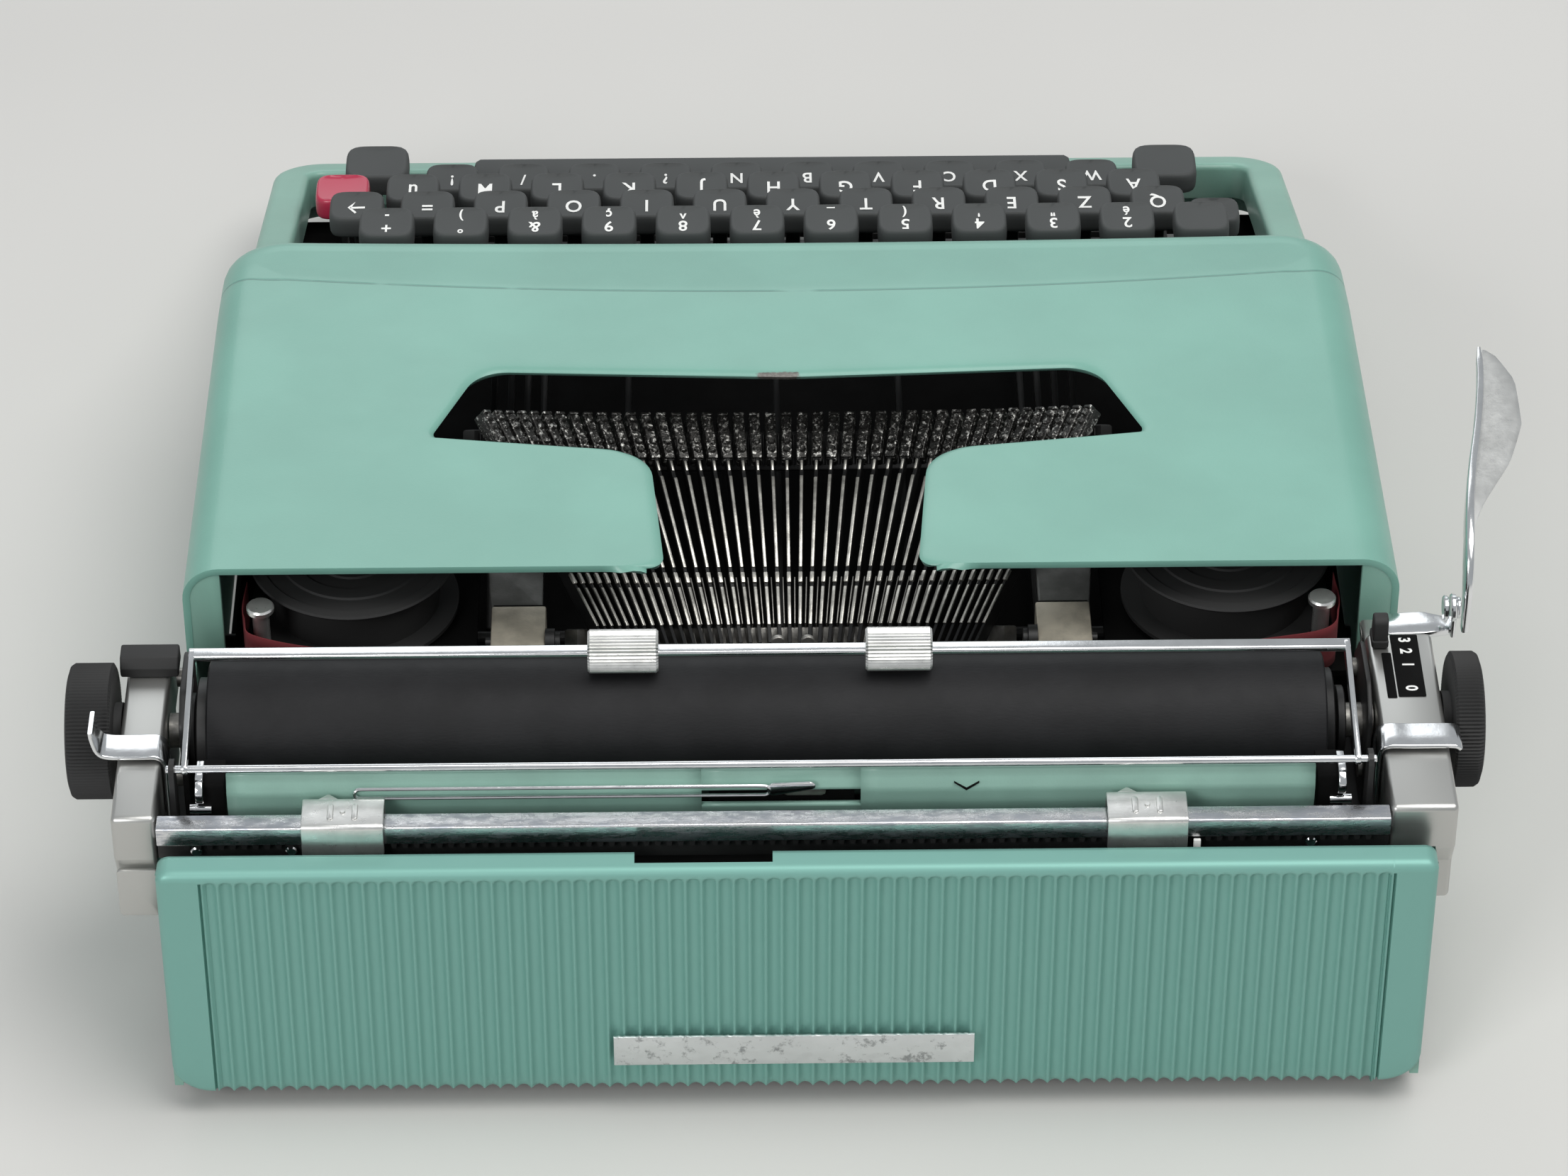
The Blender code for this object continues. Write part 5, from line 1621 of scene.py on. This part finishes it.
    def paper_table(self) -> None:
        """Creased table behind the platen, with painted shade in its end recesses and behind its middle
        gap, and a small arrow.
        """
        profile = np.array([(133.0, 57.0), (136.5, 55.6), (140.5, 56.6), (146.0, 62.0), (149.4, 68.6),
                            (150.2, 70.3), (150.75, 74.0), (150.75, 77.4), (150.1, 79.2),
                            (149.6, 80.2), (149.2, 82.0)])
        line = finer(profile, 0.9)
        spans = [(-115.4, -14.3), (21.1, 126.5)]
        forms: list[Form] = []
        for low, high in spans:
            x = np.linspace(low, high, 24)
            grid = np.stack(np.broadcast_arrays(x[None], line[:, None, 0], line[:, None, 1]), -1)
            forms.append(Form(grid, closed=False))
        x = np.linspace(spans[0][1], spans[1][0], 8)
        for part in (line[line[:, 1] <= 73.45], line[(line[:, 1] >= 77.15) & (line[:, 0] > 141.0)]):
            grid = np.stack(np.broadcast_arrays(x[None], part[:, None, 0], part[:, None, 1]), -1)
            forms.append(Form(grid, closed=False))
        Piece("paper_table_sheet", forms, [Look.TABLE], "carriage", ["paper_table"], wall=1.1,
              wall_side=0.0, sharp=25.0).build()
        # The first three blocks are near-black painted shade: one seen through the table's middle gap
        # and two filling its end recesses.
        behind = [brick((-13.0, 147.2, 70.0), (19.5, 148.2, 79.0), 1.0, Axis.Y, 0.2),
                  brick((-122.0, 141.0, 62.0), (-115.9, 150.0, 79.6), 1.0, Axis.X, 0.4),
                  brick((127.0, 141.0, 62.0), (133.2, 150.0, 79.6), 1.0, Axis.X, 0.4)]
        for x in (-121.4, 132.6):
            curl = smooth_path([(x, 143.0, 80.0), (x, 149.0, 80.6), (x, 152.0, 78.4), (x, 151.2, 75.4),
                                (x, 149.0, 74.6)], 24)
            clip = swept(rectangle((-0.9, -0.35), (0.9, 0.35), 0.3), curl, (1.0, 0.0, 0.0))
            pin = turned([(x - 2.4, 1.1), (x + 2.4, 1.1)], (150.0, 72.4), Axis.X, 16)
            behind += [clip.dressed(1), pin.dressed(1)]
        mark = rounded([(-40.6, 79.2), (-37.8, 77.7), (-35.0, 79.2), (-37.8, 76.9)], 2)
        behind.append(plate(mark, 150.5, 151.4, Axis.Y, 0.1, 1))
        outline = rounded([(-10.0, 74.0, 1.0), (4.0, 74.0, 1.0), (2.0, 76.4, 0.8),
                           (-4.0, 76.9, 0.8)], 3)
        hidden = plate(outline, 148.4, 149.2, Axis.Y, 0.2)
        behind.append(hidden.dressed(2))
        Piece("table_backing", behind, [Look.BLACK_AND_SHADE, Look.CHROME, Look.STEEL], "carriage").build()
        x, z = 3.0, 78.2
        loop = [(x - 1.2, z + 0.9), (x + 6.0, z + 1.3), (97.4, z + 1.3), (98.4, z),
                (97.4, z - 1.3), (x + 4.0, z - 1.3)]
        path = [(a, 152.1, b) for a, b in rounded([(a, b, 1.2) for a, b in loop], 6)]
        closed = np.array(path + path[:1])
        wire = swept(ring(0.42, 8), closed, (0.0, 1.0, 0.0))
        ear = plate(rounded([(x - 12.0, z + 1.4, 1.0), (x + 3.6, z - 1.8, 1.5), (x + 3.6, z + 1.9, 1.5),
                             (x - 6.0, z + 2.3, 1.2)], 4), 151.75, 152.35, Axis.Y, 0.2)
        Piece("support_wire", [wire, ear], [Look.CHROME], "support", ["paper_support"]).build()

    def margins(self) -> None:
        """Margin rail with its rack of teeth, and the two stops with pointers."""
        low, high = self.left[1] + 0.3, self.right[0] - 0.3
        rail = brick((low, 157.0, 71.8), (high, 162.0, 76.8), 0.5, Axis.X, 0.2)
        teeth: list[Form] = []
        pitch, count = 2.54, 104
        for i in range(count):
            x = low + 4.0 + i * pitch
            tooth = rounded([(x, 71.9), (x + 1.5, 71.9), (x + 1.2, 70.5), (x + 0.3, 70.5)], 1)
            teeth.append(plate(tooth, 161.0, 161.7, Axis.Y, 0.05, 1).dressed(1))
        rack = brick((low, 158.6, 66.2), (high, 160.2, 71.9), 0.3, Axis.X, 0.2).dressed(1)
        knobs = [turned([(160.1, 1.3), (161.3, 1.3), (161.6, 1.0)], (x, 69.6), Axis.Y, 20).dressed(2)
                 for x in (133.0, 112.0, -114.0)]
        Piece("margin_rail_rack", [rail, rack, *teeth, *knobs], [Look.RAIL, Look.DARK, Look.CHROME],
              "carriage", ["margin_rail"]).build()
        for name, x0, x1 in self.stops:
            middle = (x0 + x1) / 2
            hood = rounded([(153.4, 72.4), (153.4, 78.5, 1.1), (163.6, 78.5, 1.1), (163.6, 70.2),
                            (162.6, 70.2), (162.6, 77.5, 0.4), (154.4, 77.5, 0.4),
                            (154.4, 72.4)], 4)
            forms = [plate(hood, x0, x1, Axis.X, 0.3)]
            shift = 3.4 if name == "right" else 4.2
            tip = rounded([(middle + shift - 2.8, 154.4), (middle + shift + 2.8, 154.4),
                           (middle + shift, 152.1, 0.7)], 4)
            forms.append(plate(tip, 77.6, 78.4, Axis.Z, 0.25))
            for offset in (-2.7, 2.7):
                left, right = middle + offset - 0.7, middle + offset + 0.7
                forms.append(brick((left, 156.0, 78.1), (right, 161.2, 78.95), 0.6, Axis.Z, 0.3))
            forms.append(turned([(78.1, 0.8), (78.9, 0.5)], (middle, 158.6), Axis.Z, 12))
            tag_x = x1 - 1.6 if name == "right" else x0 - 3.0
            tag = brick((tag_x, 162.0, 66.2), (tag_x + 1.6, 162.8, 71.6), 0.2, Axis.Y, 0.1)
            forms.append(tag.dressed(1))
            Piece(f"stop_{name}_hood", forms, [Look.NICKEL, Look.LEGEND], f"stop_{name}",
                  [f"margin_stop_{name}"]).build()

    def strap(self, points: Sequence[Point]) -> Form:
        """Bent strap 8 mm wide and 1 mm thick along a path in the XZ plane."""
        section = rectangle((-4.0, -0.5), (4.0, 0.5), 0.35, 3)
        return swept(section, smooth_path(points, 46), (0.0, 1.0, 0.0))

    def levers(self) -> None:
        """Release straps, lock button, line-space scale with selector, and the return lever."""
        bends = {
            "right": ((140.9, 60.5), (140.9, 70.0), (141.0, 77.0), (142.6, 79.4), (147.0, 79.5),
                      (153.4, 79.6), (155.8, 81.0), (156.8, 84.6), (157.0, 86.8)),
            "left": ((-130.65, 60.5), (-130.65, 70.0), (-130.8, 77.0), (-132.4, 79.4),
                     (-138.0, 79.5), (-146.6, 79.5), (-148.3, 79.1), (-148.9, 78.6)),
        }
        for side, bend in bends.items():
            strap = self.strap([(x, STRAP_Y, z) for x, z in bend])
            Piece(f"release_{side}_strap", [strap], [Look.CHROME], f"release_{side}",
                  [f"release_lever_{side}"]).build()
        button = plate(rounded([(104.0, 78.4), (111.0, 78.4), (111.0, 80.6, 0.6), (109.4, 83.0, 0.8),
                                (104.6, 83.0, 0.8)], 4), 139.8, 153.1, Axis.X, 0.5, 3)
        Piece("lock_button", [button], [Look.PLASTIC], "lock_slider",
              ["carriage_lock_slider"]).build()
        thumb = rounded([(99.6, 79.6), (104.4, 79.6), (104.0, 86.0, 1.6), (100.2, 86.0, 1.6)], 5)
        selector = [brick((-136.2, 99.2, 78.4), (-132.3, 104.8, 80.2), 0.6, Axis.Z, 0.3),
                    plate(thumb, -136.0, -132.6, Axis.X, 0.5, 3)]
        Piece("selector_knob", selector, [Look.PLASTIC], "selector", ["line_space_selector"]).build()
        scale = [brick((-143.2, 99.6, 78.02), (-136.9, 121.6, 78.22), 0.3, Axis.Z, 0.08).dressed(0),
                 brick((-136.6, 106.0, 78.02), (-134.4, 122.0, 78.15), 0.3, Axis.Z, 0.05).dressed(0)]
        Piece("line_space_scale", scale, [Look.BLACK_AND_SHADE], "carriage").build()
        self.scale_digits()
        self.return_lever()

    def scale_digits(self) -> None:
        """White digits of the line-space scale, read from the machine's left."""
        shift = home()
        turn = Matrix.Rotation(math.radians(90), 4, "Z")
        meshes = []
        for text, y in (("3", 101.6), ("2", 105.6), ("1", 110.4), ("0", 118.8)):
            place = Matrix.Translation((-140.0 * MM + shift.x, y * MM + shift.y, 78.26 * MM))
            meshes.append(lettering(text, 2.6, place @ turn))
        joined_letters("scale_digits", "carriage", meshes)

    def return_lever(self) -> None:
        """Bracket plate, washers and the long lever with its broad paddle."""
        bracket = rounded([(-134.9, 94.6, 3.5), (-134.9, 87.2, 3.5), (-146.0, 86.2, 3.0),
                           (-152.6, 88.6, 1.0), (-152.6, 93.0, 1.0), (-146.0, 94.2, 2.0)], 5)
        forms = [plate(bracket, 72.5, 74.3, Axis.Z, 0.4)]
        for a, b, radius in ((-151.2, -150.0, 2.9), (-152.9, -151.7, 3.3), (-154.0, -153.1, 2.6)):
            washer = [(a, radius - 0.3), (a + 0.3, radius), (b - 0.3, radius), (b, radius - 0.3)]
            forms.append(turned(washer, (91.4, 79.4), Axis.X, 28))
        ear = rounded([(88.6, 72.6), (94.0, 72.6), (94.0, 82.6, 2.6), (88.6, 82.6, 2.6)], 5)
        forms.append(plate(ear, -153.0, -151.9, Axis.X, 0.3))
        path = smooth_path([(-155.6, 90.6, 72.4), (-155.7, 89.8, 78.0), (-155.8, 87.6, 85.0),
                            (-156.2, 82.0, 90.4), (-157.2, 72.0, 93.2), (-159.0, 60.0, 95.2),
                            (-161.6, 46.0, 97.8), (-163.4, 33.0, 100.4), (-164.2, 22.0, 102.4)], 60)
        along = np.linspace(0.0, 1.0, 60)
        wide = np.interp(along, [0.0, 0.2, 0.45, 0.6, 0.95, 1.0], [0.9, 1.0, 1.1, 1.0, 0.8, 0.4])
        tall = np.interp(along, [0.0, 0.1, 0.3, 0.45, 0.6, 0.8, 0.96, 1.0],
                         [1.8, 2.1, 3.9, 4.2, 3.0, 1.8, 1.0, 0.5])
        section = rectangle((-1.0, -1.0), (1.0, 1.0), 0.45, 4)
        forms.append(swept(section, path, (1.0, 0.0, 0.0), np.stack([wide, tall], -1)))
        rows = np.linspace(0.0, 1.0, 30)
        spine = along_line(path, 26.0 + rows * 57.5)
        reach = np.interp(rows, [0.0, 0.15, 0.4, 0.62, 0.85, 0.96, 1.0],
                          [0.4, 2.6, 7.6, 9.4, 7.4, 3.4, 0.8])
        out = np.linspace(0.0, 1.0, 9)
        x = spine[:, 0, None] - 0.6 - reach[:, None] * out
        z = spine[:, 2, None] - 1.0 - 1.5 * out[None] ** 2 * (reach[:, None] / 9.4)
        wave = 1.5 * out[None] * np.sin(rows * 3.0)[:, None]
        y = np.broadcast_to(spine[:, 1, None], x.shape) + wave
        Piece("return_lever_arm", forms, [Look.CHROME], "lever", ["return_lever"]).build()
        paddle = Form(np.stack([x, y, z], -1), closed=False)
        Piece("return_lever_paddle", [paddle], [Look.NICKEL], "lever", wall=1.3, wall_side=0.0,
              bevel=0.3).build()

    def build(self) -> None:
        """Make the carriage's pieces."""
        self.platen_roll()
        self.castings()
        self.bail()
        self.paper_table()
        self.margins()
        self.levers()


# Other nodes, light and camera ----------------------------------------------


# base_pan and spool_deck take the near-black finish as painted shade for the dark inside of the machine.
PLAIN_NODES: dict[str, Look] = {
    "base_pan": Look.BLACK_AND_SHADE, "foot_front_left": Look.FOOT, "foot_front_right": Look.FOOT,
    "foot_rear_left": Look.FOOT, "foot_rear_right": Look.FOOT, "side_panel_left": Look.SHELL,
    "side_panel_right": Look.SHELL, "carriage_rail_front": Look.DARK, "carriage_rail_rear": Look.DARK,
    "mainspring_drum": Look.STEEL, "spool_deck": Look.BLACK_AND_SHADE, "key_fulcrum": Look.DARK,
    "carriage_bed": Look.DARK, "bail_bracket_left": Look.DARK, "bail_bracket_right": Look.DARK,
}


def dress_nodes(nodes: Mapping[str, bpy.types.Object]) -> None:
    """Give every CAD node that stays in view its finish.

    Args:
        nodes: CAD objects by name.
    """
    for name, look in PLAIN_NODES.items():
        thing = nodes[name]
        thing.data.materials.clear()
        thing.data.materials.append(look.value.build())


@dataclass
class Studio:
    """Pale floor, soft lights and the camera."""

    eye: Point = (15.9, 1091.0, 890.7)
    elevation: float = math.radians(38.8)
    heading: float = math.radians(-0.8)
    lens: float = 128.36

    def camera(self) -> None:
        """Camera behind and above the machine, looking down at it."""
        sine, cosine = math.sin(self.heading), math.cos(self.heading)
        flat, drop = math.cos(self.elevation), math.sin(self.elevation)
        forward = Vector((sine * flat, -cosine * flat, -drop))
        right = Vector((-cosine, -sine, 0.0))
        up = right.cross(forward)
        data = bpy.data.cameras.new("camera")
        data.lens = self.lens
        data.sensor_width = SENSOR
        data.clip_start, data.clip_end = 0.05, 20.0
        thing = bpy.data.objects.new("camera", data)
        bpy.context.scene.collection.objects.link(thing)
        turn = Matrix((right, up, -forward)).transposed()
        thing.matrix_world = Matrix.Translation(Vector(self.eye) * MM + home()) @ turn.to_4x4()
        bpy.context.scene.camera = thing

    def light(self, name: str, place: Point, aim: Point, size: float, power: float,
              colour: Colour = (1.0, 1.0, 1.0)) -> None:
        """Square area light turned towards a point.

        Args:
            name: Name of the light.
            place: Where it is, in metres.
            aim: Point it faces.
            size: Length of its side, in metres.
            power: Power in watts.
            colour: Colour.
        """
        data = bpy.data.lights.new(name, "AREA")
        data.size = size
        data.energy = power
        data.color = colour
        thing = bpy.data.objects.new(name, data)
        thing.location = place
        thing.rotation_euler = (Vector(aim) - Vector(place)).to_track_quat("-Z", "Y").to_euler()
        bpy.context.scene.collection.objects.link(thing)

    def floor(self) -> None:
        """Wide pale floor under the feet."""
        span = np.linspace(-FLOOR_HALF, FLOOR_HALF, FLOOR_LINES)
        x, y = np.meshgrid(span, span)
        spots = np.stack([x, y, np.full_like(x, -FLOOR_DROP)], -1).reshape(-1, 3)
        ids = np.arange(FLOOR_LINES**2).reshape(FLOOR_LINES, FLOOR_LINES)
        faces = np.stack([ids[:-1, :-1], ids[:-1, 1:], ids[1:, 1:], ids[1:, :-1]], -1).reshape(-1, 4)
        mesh = bpy.data.meshes.new("floor")
        mesh.from_pydata(spots.tolist(), [], faces.tolist())
        paper = Finish("floor_paper", (0.60, 0.59, 0.57), 0.75, mottle=0.02, mottle_scale=3.0,
                       grain=0.1)
        mesh.materials.append(paper.build())
        thing = bpy.data.objects.new("floor", mesh)
        bpy.context.scene.collection.objects.link(thing)

    def build(self) -> None:
        """Set the floor, the sky and the lights."""
        self.floor()
        world = bpy.data.worlds.new("studio")
        world.use_nodes = True
        sky = world.node_tree.nodes["Background"]
        sky.inputs["Color"].default_value = (0.93, 0.97, 1.0, 1.0)
        sky.inputs["Strength"].default_value = 0.42
        scene = bpy.context.scene
        scene.world = world
        scene.view_settings.view_transform = "Standard"
        self.light("sky_window", (-0.5, 0.35, 1.7), (0.0, 0.0, 0.05), 1.3, 22.0, (1.0, 0.99, 0.97))
        self.light("rear_window", (0.9, 1.5, 1.1), (0.0, 0.1, 0.05), 0.7, 13.0)
        self.light("front_fill", (0.2, -1.6, 1.0), (0.0, 0.0, 0.05), 1.2, 6.0, (0.95, 0.98, 1.0))


def main() -> None:
    """Build the machine in order."""
    logging.basicConfig(level=logging.INFO, format="%(message)s")
    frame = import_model()
    studio = Studio()
    studio.camera()
    for assembly in (Shell(), Keyboard(), Basket(), Carriage()):
        LOG.info("%s", type(assembly).__name__)
        assembly.build()
    dress_nodes(frame["nodes"])
    studio.build()


if __name__ == "__main__":
    main()
